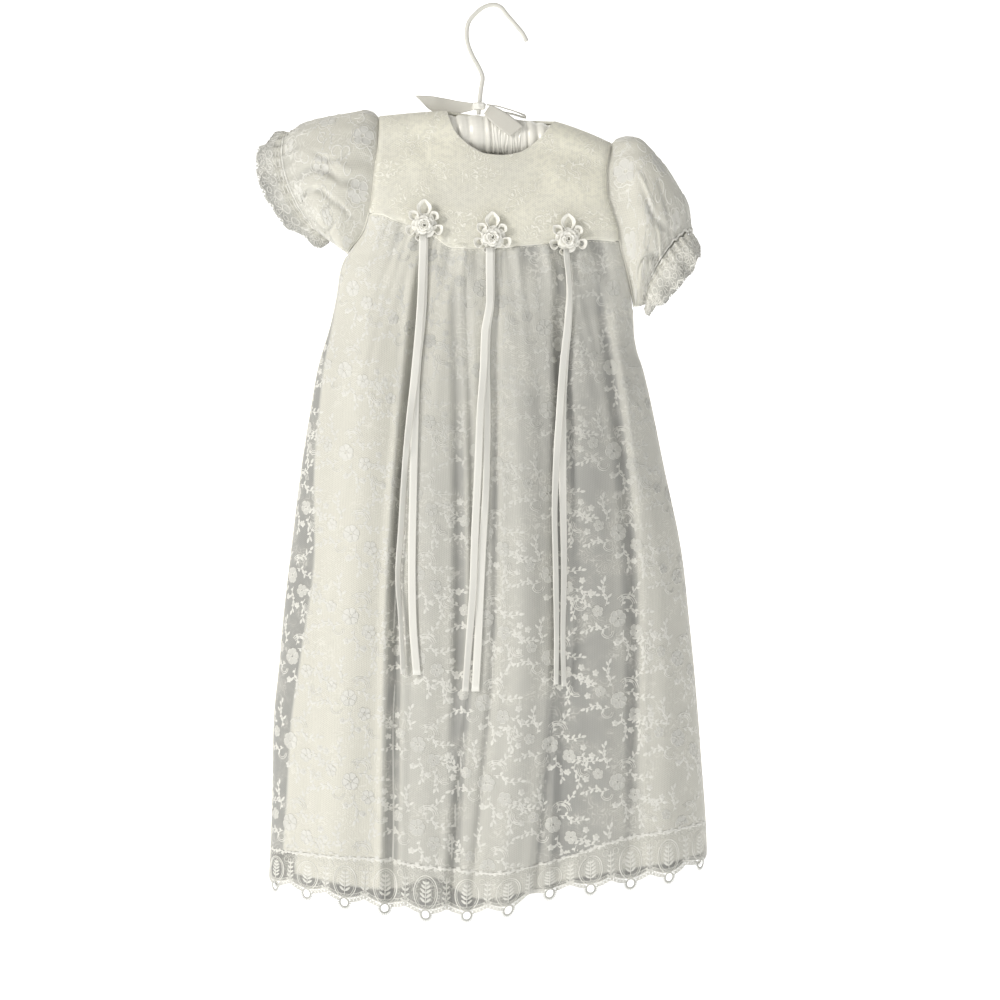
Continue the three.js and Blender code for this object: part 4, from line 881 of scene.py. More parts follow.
def skirt_motif():
    """Part of a slanting garland: roses, leaf sprays, turned ribbons and buds, about 60 by 60."""
    work = ThreadWork()
    rose(work, -2, 1, 7.4, 6, 0.2)
    rose(work, 13.5, -11, 6.0, 5, 0.9)
    rose(work, -19, 8.5, 4.8, 5, 0.4)
    hank(work, 6, 11, 9.5, 0.1, 2.5)
    hank(work, 25, -25, 6.5, 2.6, 5.4, 3, 1.5)
    hank(work, -12, -9, 5.5, 3.3, 6.2, 2, 1.5)
    for points, leaves in (
        ([(20, -12), (26, -13), (31, -18), (38, -18)], 8),
        ([(-24, 12), (-29, 14), (-33, 20), (-40, 21)], 8),
        ([(4, 8), (11, 8), (17, 3), (26, 4)], 8),
        ([(-10, -5), (-17, -7), (-23, -4), (-31, -7)], 8),
        ([(2, -9), (1, -17), (6, -23), (4, -30)], 8),
        ([(-12, 12), (-10, 19), (-14, 25), (-12, 32)], 8),
        ([(18, -18), (16, -24), (20, -30), (18, -36)], 6),
        ([(2, 11), (5, 18), (12, 20), (17, 26)], 7),
    ):
        spray(work, points, leaves, 5.4, 2.6)
    for x, y, turn in ((27, -5, 0.4), (-30, 4, 1.2), (-5, -19, 2.2), (-24, 24, 0.8), (10, -25, 1.7)):
        work.pad(scalloped(x, y, 3.2, 5, 0.34, 15, turn), 0.45, 0.9)
        work.thread(circle(x, y, 1.3, 6), 0.6, 0.7, closed=True)
    return work


def swirl_motif():
    """Outlined scrolls, a flower and leaves for the yoke and the sleeves, about 44 by 44."""
    work = ThreadWork()
    rose(work, 0, 0, 7.4, 5, 0.4)
    work.thread(scalloped(0, 0, 9.6, 6, 0.2, 24, 0.3), 0.7, 0.4, closed=True)
    for turn in (0.5, 2.6, 4.7):
        radius = np.linspace(9.5, 2.2, 16)
        angle = turn + np.linspace(0, 4.4, 16)
        x = 15 * math.cos(turn)
        y = 15 * math.sin(turn)
        work.thread(stack(x + radius * 0.62 * np.cos(angle), y + radius * 0.62 * np.sin(angle)), 0.95, 0.5)
    spray(work, [(6, -5), (11, -12), (18, -15)], 5, 3.6, 1.8, 0.6, 9)
    spray(work, [(-6, 6), (-9, 13), (-16, 18)], 5, 3.6, 1.8, 0.6, 9)
    spray(work, [(-7, -4), (-15, -5), (-20, -12)], 4, 3.4, 1.7, 0.6, 8)
    return work


def hem_motif():
    """One scallop of the edging: heading cord, medallion, palm, feathers, comb and picot ring."""
    work = ThreadWork()
    half = SCALLOP_WIDE / 2
    work.thread([(x, 1.0 + 0.7 * math.sin(x * 0.7)) for x in np.linspace(-half, half, 25)], 1.3, 0.6)
    for k in range(9):
        x = -half + 2 + 4 * k
        y = 1.2 + 1.1 * math.sin(2.3 * k)
        work.pad(scalloped(x, y, 2.1 + 0.4 * math.sin(3.7 * k), 5, 0.3, 15, k), 0.55, 0.9)
        work.thread([(x - 1.4, 3.2), (x + 0.3, 5.2 + math.sin(k)), (x + 1.6, 3.4)], 0.5, 0.4, bright=0.8)
    oval = np.linspace(0, 2 * math.pi, 28, endpoint=False)
    work.thread(stack(10.4 * np.cos(oval), 20.5 + 13.2 * np.sin(oval)), 1.0, 0.75, closed=True)
    work.thread(stack(8.8 * np.cos(oval), 20.5 + 11.5 * np.sin(oval)), 0.5, 0.5, closed=True)
    work.thread([(0, 31), (0, 24), (0, 16), (0, 11)], 0.7, 0.55)
    for k, (y, long) in enumerate(((28, 6.2), (24.5, 6.6), (21, 6.2), (17.5, 5.2), (14, 3.8))):
        for side in (-1, 1):
            angle = -math.pi / 2 + side * 0.95
            work.pad(leaf(0, y, angle, long, 2.1), 0.5)
    for side in (-1, 1):
        border = [(side * half, 33), (side * (half - 0.6), 24), (side * (half + 0.3), 15), (side * half, 8)]
        work.thread(curve_through(border, 9), 0.6, 0.5)
        for k in range(5):
            y = 30 - 4.4 * k
            work.pad(leaf(side * half, y, -math.pi / 2 - side * 0.9, 5.2 - 0.4 * k, 1.9), 0.45)
        work.thread(circle(side * 13.2, 8.6, 2.6, 9), 0.55, 0.5, closed=True)
    edge = np.linspace(-half, half, 25)
    valley = np.abs(edge / half) ** 2
    depth = SCALLOP_TALL - SCALLOP_RISE * valley
    work.thread(stack(edge, depth - 1.0), 1.0, 0.7)
    work.thread(stack(edge, depth - 3.6), 0.5, 0.45)
    for k in range(24):
        x = -half + 0.75 + 1.5 * k
        y = SCALLOP_TALL - SCALLOP_RISE * (x / half) ** 2
        if abs(x) > 4.4:
            work.thread(circle(x, y + 1.5, 1.1 + 0.4 * (k % 2), 6), 1.0, 0.4, closed=True, bright=0.8)
        work.thread([(x - 0.7, y - 3.4), (x + 0.7, y - 1.4)], 0.4, 0.4)
    work.thread(circle(0, 37.4, 3.9, 18), 1.5, 0.7, closed=True, bright=0.3)
    for k in range(13):
        angle = -0.25 + k * (math.pi + 0.5) / 12
        start = np.array([4.4 * math.cos(angle), 37.4 + 4.4 * math.sin(angle)])
        end = np.array([6.4 * math.cos(angle), 37.4 + 6.4 * math.sin(angle)])
        work.thread([start, end], 0.9, 0.4, bright=0.2)
    return work


def ruffle_motif():
    """One scallop of the sleeve lace: a fan, loops and picots."""
    work = ThreadWork()
    for down, wide in ((0.8, 1.0), (3.2, 0.6)):
        work.thread([(-4, down), (0, down), (4, down)], wide, 0.5)
    work.thread(circle(0, 8, 2.7, 10), 0.9, 0.55, closed=True)
    for angle in (-0.9, -0.3, 0.3, 0.9):
        end = (4.4 * math.sin(angle) * 0.9, 10.5 + 5.5 * math.cos(angle))
        work.thread([(0, 10.5), end], 0.5, 0.5)
    edge = np.linspace(-4, 4, 9)
    work.thread(stack(edge, 19.2 - 2.4 * (np.abs(edge) / 4) ** 1.5), 0.9, 0.65)
    work.thread(circle(-4, 13.2, 1.7, 8), 0.5, 0.5, closed=True)
    work.thread(circle(0, 16.6, 1.4, 8), 0.5, 0.5, closed=True)
    for x in (-3, -1, 1, 3):
        y = 19.2 - 2.4 * (abs(x) / 4) ** 1.5
        work.thread(circle(x, y + 1.4, 1.1, 7), 0.8, 0.4, closed=True, bright=0.3)
    return work


# Materials. A Value wraps a shader socket so that Python's own signs add the Math nodes.
class Value:
    """A number that varies over a surface."""

    def __init__(self, look, socket):
        self.look = look
        self.socket = socket

    def _math(self, operation, *inputs):
        sockets = dict(enumerate(inputs))
        return self.look.out(self.look.node("ShaderNodeMath", {"operation": operation}, sockets))

    def __add__(self, other):
        return self._math("ADD", self, other)

    def __radd__(self, other):
        return self._math("ADD", other, self)

    def __sub__(self, other):
        return self._math("SUBTRACT", self, other)

    def __rsub__(self, other):
        return self._math("SUBTRACT", other, self)

    def __mul__(self, other):
        return self._math("MULTIPLY", self, other)

    def __rmul__(self, other):
        return self._math("MULTIPLY", other, self)

    def cosine(self):
        return self._math("COSINE", self)

    def ramp(self, low, high):
        sockets = {"Value": self, "From Min": low, "From Max": high}
        settings = {"interpolation_type": "SMOOTHSTEP"}
        return self.look.out(self.look.node("ShaderNodeMapRange", settings, sockets))


class Look:
    """A material and the nodes that make it."""

    def __init__(self, name, fixed):
        self.material = bpy.data.materials.new(name)
        self.material.use_nodes = True
        self.tree = self.material.node_tree
        self.tree.nodes.clear()
        self.shader = self.node("ShaderNodeBsdfPrincipled", None, fixed)
        output = self.node("ShaderNodeOutputMaterial")
        self.tree.links.new(self.shader.outputs["BSDF"], output.inputs["Surface"])

    def node(self, kind, settings=None, sockets=None):
        made = self.tree.nodes.new(kind)
        for name, value in (settings or {}).items():
            setattr(made, name, value)
        for name, value in (sockets or {}).items():
            self.put(made.inputs[name], value)
        return made

    def put(self, socket, value):
        if isinstance(value, Value):
            self.tree.links.new(value.socket, socket)
        else:
            socket.default_value = value

    def out(self, node, name=0):
        return Value(self, node.outputs[name])

    def set(self, **sockets):
        for name, value in sockets.items():
            self.put(self.shader.inputs[name.replace("_", " ").title()], value)

    def cloth(self):
        return self.out(self.node("ShaderNodeUVMap", {"uv_map": "cloth"}), "UV")

    def body(self):
        return self.out(self.node("ShaderNodeTexCoord"), "Object")

    def stretched(self, vector, scale):
        return self.out(self.node("ShaderNodeMapping", None, {"Vector": vector, "Scale": scale}), "Vector")

    def cloth_place(self):
        """The place on the flat cloth, in millimetres across and down."""
        parts = self.node("ShaderNodeSeparateXYZ", None, {"Vector": self.cloth()})
        return self.out(parts, "X") * 1000, self.out(parts, "Y") * 1000

    def noise(self, vector, scale, detail=2.0, rough=0.5):
        sockets = {"Vector": vector, "Scale": scale, "Detail": detail, "Roughness": rough}
        return self.out(self.node("ShaderNodeTexNoise", None, sockets))

    def scrolls(self, vector, scale, turns):
        """Thin curling lines, like drawn thread work."""
        field = self.noise(vector, scale, 1.5, 0.45)
        return (field * turns).cosine().ramp(0.45, 0.95)

    def blend(self, factor, first, second):
        sockets = {0: factor, 6: first, 7: second}
        return self.out(self.node("ShaderNodeMix", {"data_type": "RGBA"}, sockets), 2)

    def tone(self):
        node = self.node("ShaderNodeAttribute", {"attribute_type": "GEOMETRY", "attribute_name": "tone"})
        return self.out(node, "Fac")

    def bump(self, height, strength, distance):
        sockets = {"Height": height, "Strength": strength, "Distance": distance * MM}
        self.set(normal=self.out(self.node("ShaderNodeBump", None, sockets), "Normal"))


def colour(values, scale=1.0):
    return tuple(value * scale for value in values[:3]) + (1.0,)


def net_holes(look, wide, down, spacing):
    """One in the middle of each hole of a six-sided net, nought on its threads."""
    pace = 4 * math.pi / (math.sqrt(3) * spacing)
    slant = math.sqrt(3) / 2
    total = (wide * pace).cosine()
    total = total + ((wide * -0.5 + down * slant) * pace).cosine()
    total = total + ((wide * -0.5 - down * slant) * pace).cosine()
    return total.ramp(-0.6, 1.6)


def net_material(name, settings, cover, clear, drawn, holes=None, sheer=1.0):
    """Fine net: cream where its tone is one, grey with painted shade at a half, and dark with painted shade of the
    unlit inside and open where its tone is nought.
    """
    look = Look(name, {"Sheen Weight": 0.25, "Sheen Roughness": 0.5, "Specular IOR Level": 0.25})
    wide, down = look.cloth_place()
    hole = net_holes(look, wide, down, holes or settings.net_spacing * 1000)
    tone = look.tone()
    cloud = look.noise(look.cloth(), 38, 3)
    grain = look.noise(look.cloth(), 900, 2)
    # Painted shade: dark, scaled by sheer, where the tone is nought; grey at a half; cream at one.
    base = look.blend(tone.ramp(0.0, 0.5), colour(settings.net_sheer, sheer), colour(settings.net_grey))
    base = look.blend(tone.ramp(0.5, 1.0), base, colour(settings.net_cream))
    lines = look.scrolls(look.cloth(), 104, 50) * cloud.ramp(0.44, 0.6)
    base = look.blend(hole * 0.1 + grain * 0.28, base, colour(settings.net_sheer))
    base = look.blend(cloud.ramp(0.4, 0.7) * 0.25, base, colour(settings.net_cream, 0.84))
    base = look.blend(lines * drawn, base, colour(settings.thread_colour))
    open_share = clear + (cover - clear) * tone
    look.set(base_color=base, roughness=0.62 + grain * 0.2, alpha=1 - hole * (1 - open_share))
    look.bump((1 - hole) * 0.6 + lines * 0.6, 0.5, 0.25)
    return look.material


def satin_material(name, settings, tint, rough, streak, with_painted_shade=False):
    """Satin: warp streaks, soft clouds and a fine weave, with the gloss running across it."""
    look = Look(name, {"Sheen Weight": 0.1, "Specular IOR Level": 0.5, "Anisotropic": 0.35})
    warp = look.noise(look.stretched(look.cloth(), (1400, 26, 1)), 1.0, 2)
    weave = look.noise(look.stretched(look.cloth(), (260, 2600, 1)), 1.0, 1)
    cloud = look.noise(look.cloth(), 24, 3)
    base = look.blend(warp * streak, colour(tint), colour(tint, 0.88))
    # Painted shade: greyer where the tone attribute is low, in the lining's recesses and across the middle of a
    # ribbon.
    if with_painted_shade:
        base = look.blend(look.tone(), colour(settings.lining_grey), base)
    base = look.blend(cloud.ramp(0.35, 0.75) * 0.3, base, colour(tint, 0.95))
    look.set(base_color=base, roughness=rough - 0.06 + warp * 0.16)
    look.bump(warp * 0.6 + weave * 0.4, 0.35, 0.12)
    return look.material


def lace_over_satin_material(name, settings):
    """Close lace on satin: the net as a fine darker grid, with painted light warm at the shoulders and painted
    shade greyer low in the middle.
    """
    look = Look(name, {"Sheen Weight": 0.3, "Sheen Roughness": 0.45, "Specular IOR Level": 0.3})
    wide, down = look.cloth_place()
    hole = net_holes(look, wide, down, settings.net_spacing * 1000)
    cloud = look.noise(look.cloth(), 45, 4)
    grain = look.noise(look.cloth(), 700, 3)
    # Painted light and shade: warm where the tone is high, cool grey where it is low.
    base = look.blend(look.tone(), colour(settings.yoke_cool), colour(settings.yoke_warm))
    lines = look.scrolls(look.cloth(), 112, 46) * cloud.ramp(0.47, 0.6)
    small = look.noise(look.cloth(), 260, 2)
    base = look.blend(hole * 0.3, base, colour(settings.yoke_cool, 0.85))
    base = look.blend(cloud.ramp(0.38, 0.62) * 0.6, base, colour(settings.yoke_warm, 0.82))
    base = look.blend(small.ramp(0.45, 0.62) * 0.28, base, colour(settings.yoke_cool, 0.8))
    base = look.blend(lines * 0.8, base, colour(settings.yoke_thread_colour))
    look.set(base_color=base, roughness=0.6 + grain * 0.2)
    look.bump(grain * 0.3 + lines + (1 - hole) * 0.3, 0.7, 0.3)
    return look.material


def thread_material(name, settings, tint, dim):
    """Cotton thread, with the fine twist of its strands."""
    look = Look(name, {"Sheen Weight": 0.3, "Specular IOR Level": 0.35})
    place = look.body()
    strand = look.noise(place, 1500, 2)
    cloud = look.noise(place, 60, 2)
    # Greyer towards the dim colour where the tone is low; on the skirt lace this is painted shade.
    base = look.blend(look.tone(), colour(dim), colour(tint))
    base = look.blend(strand * 0.4, base, colour(dim))
    base = look.blend(cloud.ramp(0.3, 0.7) * 0.2, base, colour(dim, 1.1))
    look.set(base_color=base, roughness=0.5 + strand * 0.25)
    look.bump(strand, 0.5, 0.15)
    return look.material


def wrapped_material(name, settings):
    """Satin tape wound round wire, on object coordinates."""
    look = Look(name, {"Specular IOR Level": 0.5, "Sheen Weight": 0.1})
    fine = look.noise(look.body(), 1100, 2)
    cloud = look.noise(look.body(), 90, 2)
    base = look.blend(fine * 0.35, colour(settings.hook_colour), colour(settings.hook_colour, 0.85))
    base = look.blend(cloud.ramp(0.35, 0.7) * 0.25, base, colour(settings.hook_colour, 0.93))
    look.set(base_color=base, roughness=0.36 + fine * 0.2)
    look.bump(fine, 0.4, 0.1)
    return look.material


def button_material(name, settings):
    """Pearly button: clouded and softly glossy."""
    look = Look(name, {"Specular IOR Level": 0.6, "Coat Roughness": 0.15})
    cloud = look.noise(look.body(), 260, 4)
    base = look.blend(cloud.ramp(0.3, 0.7), colour((0.86, 0.84, 0.78)), colour((0.93, 0.92, 0.9)))
    look.set(base_color=base, roughness=0.2 + cloud * 0.16, coat_weight=0.3 + cloud * 0.2)
    look.bump(cloud, 0.15, 0.1)
    return look.material


def plain_material(name, tint, rough, glow):
    """One even colour that glows a little by itself."""
    fixed = {
        "Roughness": rough, "Base Color": colour(tint), "Specular IOR Level": 0.2, "Emission Color": colour(tint),
        "Emission Strength": glow,
    }
    return Look(name, fixed).material


def material(name):
    """A material by its name, made the first time it is asked for."""
    known = bpy.data.materials.get(name)
    if known is not None:
        return known
    settings = bpy.context.scene.gown_colours
    makers = {
        "skirt_net": (net_material, 0.95, 0.9, 0.3),
        "edging_net": (net_material, 0.92, 0.88, 0.35, 1.9, 0.62),
        "ruffle_net": (net_material, 0.92, 0.75, 0.8, 1.9, 0.7),
        "sleeve_net": (net_material, 0.97, 0.95, 0.36, 1.1),
        "yoke_lace": (lace_over_satin_material,),
        "lining_satin": (satin_material, settings.lining_cream, 0.42, 0.3, True),
        "ribbon_satin": (satin_material, settings.ribbon_colour, 0.3, 0.25, True),
        "bow_satin": (satin_material, settings.bow_colour, 0.36, 0.3),
        "bar_satin": (satin_material, settings.bar_colour, 0.24, 0.3),
        "lace_thread": (thread_material, settings.thread_colour, settings.thread_dim),
        "yoke_thread": (thread_material, settings.yoke_thread_colour, settings.yoke_cool),
        "hook_tape": (wrapped_material,),
        "pearl_button": (button_material,),
    }
    maker, *values = makers[name]
    return maker(name, settings, *values)


def colour_setting(name, about, default):
    return bpy.props.FloatVectorProperty(
        name=name, description=f"Colour of {about}", subtype="COLOR", size=3, min=0, max=1, default=default
    )


def length_setting(name, about, default, low, high):
    return bpy.props.FloatProperty(name=name, description=about, unit="LENGTH", default=default, min=low, max=high)


class GownColours(bpy.types.PropertyGroup):
    """The colours of the gown's cloths and how fine its net is."""

    net_cream: colour_setting("Net on satin", "the net where it lies on the lining", (0.79, 0.775, 0.69))
    # Painted shade: the dark of the unlit inside seen through net with nothing behind it; it also darkens the net's
    # holes and grain.
    net_sheer: colour_setting("Sheer net", "the net where nothing lies behind it", (0.37, 0.37, 0.355))
    # Painted shade: the grey of the net over the lining's recesses.
    net_grey: colour_setting("Open net", "the net where the lining hangs back from it", (0.625, 0.62, 0.572))
    lining_cream: colour_setting("Lining", "the satin lining on its ridges", (0.85, 0.83, 0.75))
    # Painted shade: the grey of the lining in its recesses, which also greys the middles of the ribbons.
    lining_grey: colour_setting("Lining in the folds", "the satin lining where it hangs back", (0.68, 0.68, 0.645))
    # Painted light and shade: the yoke is lit warm cream at the shoulders and shaded grey low and in the middle;
    # the grey also tints its net grid, small spots and thread.
    yoke_warm: colour_setting("Yoke, warm", "the yoke at the shoulders", (0.9, 0.88, 0.755))
    yoke_cool: colour_setting("Yoke, cool", "the yoke low and in the middle", (0.72, 0.71, 0.64))
    thread_colour: colour_setting("Lace thread", "the lace's flowers and edges", (0.93, 0.92, 0.87))
    # Partly painted shade: the grey that the lace's thread takes where its tone is low, as on the shaded right of
    # the skirt.
    thread_dim: colour_setting("Lace thread, dim", "the lace's thread where it hardly shows", (0.5, 0.5, 0.47))
    yoke_thread_colour: colour_setting("Yoke thread", "the yoke's flowers and stitches", (0.96, 0.945, 0.87))
    ribbon_colour: colour_setting("Ribbon", "the rosettes and streamers", (0.95, 0.94, 0.885))
    bar_colour: colour_setting("Hanger satin", "the padded bar", (0.94, 0.925, 0.86))
    bow_colour: colour_setting("Bow satin", "the bow's ribbon", (0.66, 0.645, 0.59))
    hook_colour: colour_setting("Hook tape", "the tape round the hook", (0.74, 0.73, 0.68))
    net_spacing: length_setting("Net spacing", "From one hole of the net to the next", 0.0017, 0.0005, 0.01)


class GownSizes(bpy.types.PropertyGroup):
    """Sizes that a maker would change."""

    motif_height: length_setting("Motif height", "Height of one repeat of the skirt lace", 0.071, 0.02, 0.3)
    motif_width: length_setting("Motif width", "Width of one repeat of the skirt lace", 0.058, 0.02, 0.3)
    piping_radius: length_setting(
        "Piping radius", "Half the thickness of the piping at the neck and seams", 0.0009, 0.0002, 0.004
    )
    stitch_length: length_setting("Stitch length", "Length of one stitch of the seams", 0.0022, 0.0005, 0.01)
    ribbon_wall: length_setting("Ribbon thickness", "Thickness of the streamers and bow", 0.0005, 0.0001, 0.002)


# The stage.
CAMERA_DISTANCE = 2600
VIEW_MIDDLE = (6, -429)
VIEW_SIZE = 860
FRONT_PLANE = -30
SENSOR = 36
FLOOR_SIZE = 12.0


class GOWN_OT_stage(bpy.types.Operator):
    """Set the camera, the soft light and a plain pale floor and backdrop"""

    bl_idname = "gown.stage"
    bl_label = "Stage"

    def execute(self, context):
        scene = context.scene
        scene.view_settings.view_transform = "Standard"
        scene.view_settings.look = "None"
        camera = bpy.data.objects.new("camera", bpy.data.cameras.new("camera"))
        scene.collection.objects.link(camera)
        camera.location = Vector((VIEW_MIDDLE[0], -CAMERA_DISTANCE, VIEW_MIDDLE[1])) * MM
        camera.rotation_euler = (math.radians(90), 0, 0)
        camera.data.sensor_width = SENSOR
        camera.data.lens = SENSOR * (CAMERA_DISTANCE + FRONT_PLANE) / VIEW_SIZE
        camera.data.clip_end = 50
        scene.camera = camera

        world = bpy.data.worlds.new("studio")
        scene.world = world
        world.use_nodes = True
        sky = world.node_tree.nodes["Background"]
        sky.inputs["Color"].default_value = (1.0, 0.99, 0.965, 1.0)
        sky.inputs["Strength"].default_value = 0.335

        self.light(scene, "key", (-2.0, -1.5, 0.6), 0.8, 33, (1.0, 0.975, 0.925))
        self.light(scene, "fill", (1.6, -2.0, -0.2), 1.8, 2.5, (1.0, 0.985, 0.95))
        self.light(scene, "rim", (0.2, 1.1, 1.2), 1.4, 2.5, (1.0, 1.0, 1.0))

        sheet = plain_material("studio_white", (0.93, 0.93, 0.92), 0.9, 0.7)
        for name, place, turn in (
            ("floor", (0, 0, -1.05), (0, 0, 0)),
            ("backdrop", (0, 3.4, 4.2), (math.radians(90), 0, 0)),
        ):
            select_nothing()
            bpy.ops.mesh.primitive_plane_add(size=FLOOR_SIZE, location=place, rotation=turn)
            board = context.active_object
            board.name = name
            board.data.materials.append(sheet)
        return {"FINISHED"}

    def light(self, scene, name, place, size, power, tint):
        lamp = bpy.data.lights.new(name, "AREA")
        lamp.shape = "DISK"
        lamp.size = size
        lamp.energy = power
        lamp.color = tint
        made = bpy.data.objects.new(name, lamp)
        scene.collection.objects.link(made)
        made.location = place
        aim = Vector((0, 0, -0.38)) - Vector(place)
        made.rotation_euler = aim.to_track_quat("-Z", "Y").to_euler()


# The skirt.
FRONT_GRID = (230, 250)
BACK_GRID = (150, 180)
LINING_GRID = (120, 150)
YOKE_ROWS = 64
HEM_ROWS = 24
HEM_STEPS = 20
SLEEVE_GRID = (64, 241)
RUFFLE_ROWS = 14
RUFFLE_STEPS = 10
# Rows of points crowd towards the top edge.
SKIRT_CROWDING = 1.15
YOKE_CROWDING = 1.7
LACE_SEEDS = {"front": 7, "back": 11}
YOKE_SEEDS = {"front": 21, "back": 22}
SLEEVE_SEEDS = {"left": 31, "right": 37}


def skirt_grid(side, rows, columns, foot_of, depth=0.0, hem_depth=0.0):
    """Points of a skirt panel; a depth moves them inwards, more at the hem."""
    shares = np.linspace(0, 1, columns)[None, :]
    downs = np.linspace(0, 1, rows)[:, None]
    guide = across(shares)
    top = yoke_seam(mix(SEAM_LEFT, SEAM_RIGHT, guide)) - SEAM_GAP / 2
    foot = foot_of(mix(HEM_LEFT, HEM_RIGHT, guide))
    z = mix(top, foot, downs ** SKIRT_CROWDING)
    grid = panel_point(side, shares, z)
    if depth:
        sign = 1 if side == "front" else -1
        wide = np.gradient(grid, axis=1)
        tall = np.gradient(grid, axis=0)
        inward = unit(np.cross(wide, tall))
        deep = depth + (hem_depth - depth) * smooth((HEM_TURN_Z - z) / HEM_TURN_REACH)
        grid = grid + inward * (sign * deep)[..., None]
        aside = np.maximum(0, 1 - shares / LINING_SIDE) ** 2
        grid[..., 0] += lining_left_in(grid[..., 2]) * aside
        if side == "front":
            grid[..., 1] = np.minimum(grid[..., 1], -HALF_GAP)
        else:
            grid[..., 1] = np.maximum(grid[..., 1], HALF_GAP)
    return grid


def cloth_uv(grid):
    """Real-size cloth coordinates: along the cloth and straight down it."""
    z = grid[..., 2]
    return stack(np.linspace(-0.5, 0.5, grid.shape[1]) * panel_width(z), z)


class GOWN_OT_lining(bpy.types.Operator):
    """Make the satin lining of the skirt, front and back"""

    bl_idname = "gown.lining"
    bl_label = "Skirt lining"

    def execute(self, context):
        for side in ("front", "back"):
            grid = skirt_grid(side, *LINING_GRID, lining_hem, LINING_DEPTH, LINING_HEM_DEPTH)
            tone = net_light_and_shade(side, grid[..., 0], grid[..., 2])
            made = sheet_object(
                f"skirt_lining_{side}_satin", grid, material("lining_satin"), CLOTH_WALL, side == "back",
                cloth_uv(grid), tone,
            )
            place_on_gown(made, "satin_lining", f"skirt_lining_{side}")
        return {"FINISHED"}


def motif_spots(seed, low, high, wide, tall, half_width):
    """Places for a repeat in columns, each column dropped half a repeat from the last."""
    chance = np.random.default_rng(seed)
    reach = int(half_width / wide) + 2
    spots = []
    for column in range(-reach, reach + 1):
        for row in range(int((high - low) / tall) + 2):
            spots.append(
                Spot(
                    column * wide + chance.uniform(-2, 2),
                    high - (row + 0.5 * (column % 2)) * tall + chance.uniform(-2, 2),
                    chance.uniform(-0.14, 0.14),
                    1,
                    chance.uniform(0.94, 1.06),
                )
            )
    return spots


def net_light_and_shade(side, x, z):
    """One where the net lies on the lining, a half where the lining hangs back and nought where there is none;
    below one it paints shade, and high up it paints light.
    """
    behind = smooth((x - left_edge(z) - lining_left_in(z) * 0.95) / 3 + 0.5)
    near_seam = smooth((z + 330) / 90)
    # Painted shade in the troughs of the folds, stronger near the seam.
    trough = np.clip(-fold_out(side, x, z) / mix(8.5, 5, near_seam), 0, 0.36)
    # Painted light: lighter high up, more so on the left.
    high = smooth((z + 450) / 190) * mix(0.66, 0.34, smooth(x / 60))
    low = 0.1 * smooth((-z - 660) / 100)
    close = np.maximum(cream_share(side, x, z) * mix(0.8, 1, smooth((-z - 330) / 200)), high)
    # Painted shade also greys the right side, and darkens the net where no lining lies behind it.
    return np.clip(behind * (0.52 + 0.48 * close + low - trough - shade_across(x)), 0, 1)


def thread_tone(side, bright, x, z):
    """How bright the lace's flowers are: faint high up, cream on the cream bands, white on the grey ones and greyed
    by painted shade on the right.
    """
    low = smooth((-z - 360) / 220)
    sheer = 1 - smooth((x - left_edge(z) - lining_left_in(z)) / 4 + 0.5)
    plain = np.maximum(mix(0.42, 0.94, low) - 0.25 * shade_across(x), 0.95 * sheer)
    cream = smooth((cream_share(side, x, z) - 0.45) * 2)
    return np.clip(mix(bright * plain, 0.76, cream * (1 - sheer)), 0, 1.1)


def brick_spots(seed, rows, columns, wide, top, tall, stray, size):
    """Places for a motif in rows set off like bricks, each freely turned and mirrored by turns."""
    chance = np.random.default_rng(seed)
    spots = []
    for row in range(rows):
        for column in columns:
            aside = (column + 0.5 * (row % 2)) * wide + chance.uniform(-stray, stray)
            down = top + tall * row + chance.uniform(-stray, stray)
            turn = chance.uniform(0, 6.28)
            spots.append(Spot(aside, down, turn, 1 if (row + column) % 2 else -1, size))
    return spots


class GOWN_OT_skirt_lace(bpy.types.Operator):
    """Make the lace of the skirt with its flowers, front and back"""

    bl_idname = "gown.skirt_lace"
    bl_label = "Skirt lace"

    def execute(self, context):
        sizes = context.scene.gown_sizes
        wide = sizes.motif_width / MM
        tall = sizes.motif_height / MM
        for side in ("front", "back"):
            grid = skirt_grid(side, *(FRONT_GRID if side == "front" else BACK_GRID), heading)
            tone = net_light_and_shade(side, grid[..., 0], grid[..., 2])
            net = sheet_object(
                f"skirt_lace_{side}_net", grid, material("skirt_net"), 0, side == "back", cloth_uv(grid), tone
            )
            sign = 1 if side == "front" else -1

            def point(a, d, side=side):
                return panel_point(side, 0.5 + a / panel_width(d), d)

            def inside(a, d):
                share = 0.5 + a / panel_width(d)
                guide = across(share)
                top = yoke_seam(mix(SEAM_LEFT, SEAM_RIGHT, guide)) - 2
                foot = heading(mix(HEM_LEFT, HEM_RIGHT, guide)) + 1
                return (share > 0.008) & (share < 0.992) & (d < top) & (d > foot)

            spots = motif_spots(LACE_SEEDS[side], -770, -175, wide, tall, 215)
            flowers = lay(
                f"skirt_lace_{side}_flowers", skirt_motif(), spots, surface_of(point, sign),
                material("lace_thread"), inside, lambda bright, x, z, side=side: thread_tone(side, bright, x, z),
            )
            place_on_gown(net, "lace", f"skirt_lace_{side}")
            place_on_gown(flowers, "lace")
        return {"FINISHED"}


def hem_point(side, k, down):
    """A point of the edging: k counts scallops from the left, down is SCALLOP_TALL at the scallop's lowest edge."""
    share = across(k / SCALLOPS)
    guide = mix(HEM_LEFT, HEM_RIGHT, share)
    top = heading(guide) - SEAM_GAP
    base = scallop_base(guide)
    scale = (top - base) / SCALLOP_TALL
    z = top - np.minimum(down, SCALLOP_TALL) * scale - np.maximum(down - SCALLOP_TALL, 0)
    x = mix(left_edge(z), right_edge(z), share)
    return stack(x, face_y(side, x, z), z)


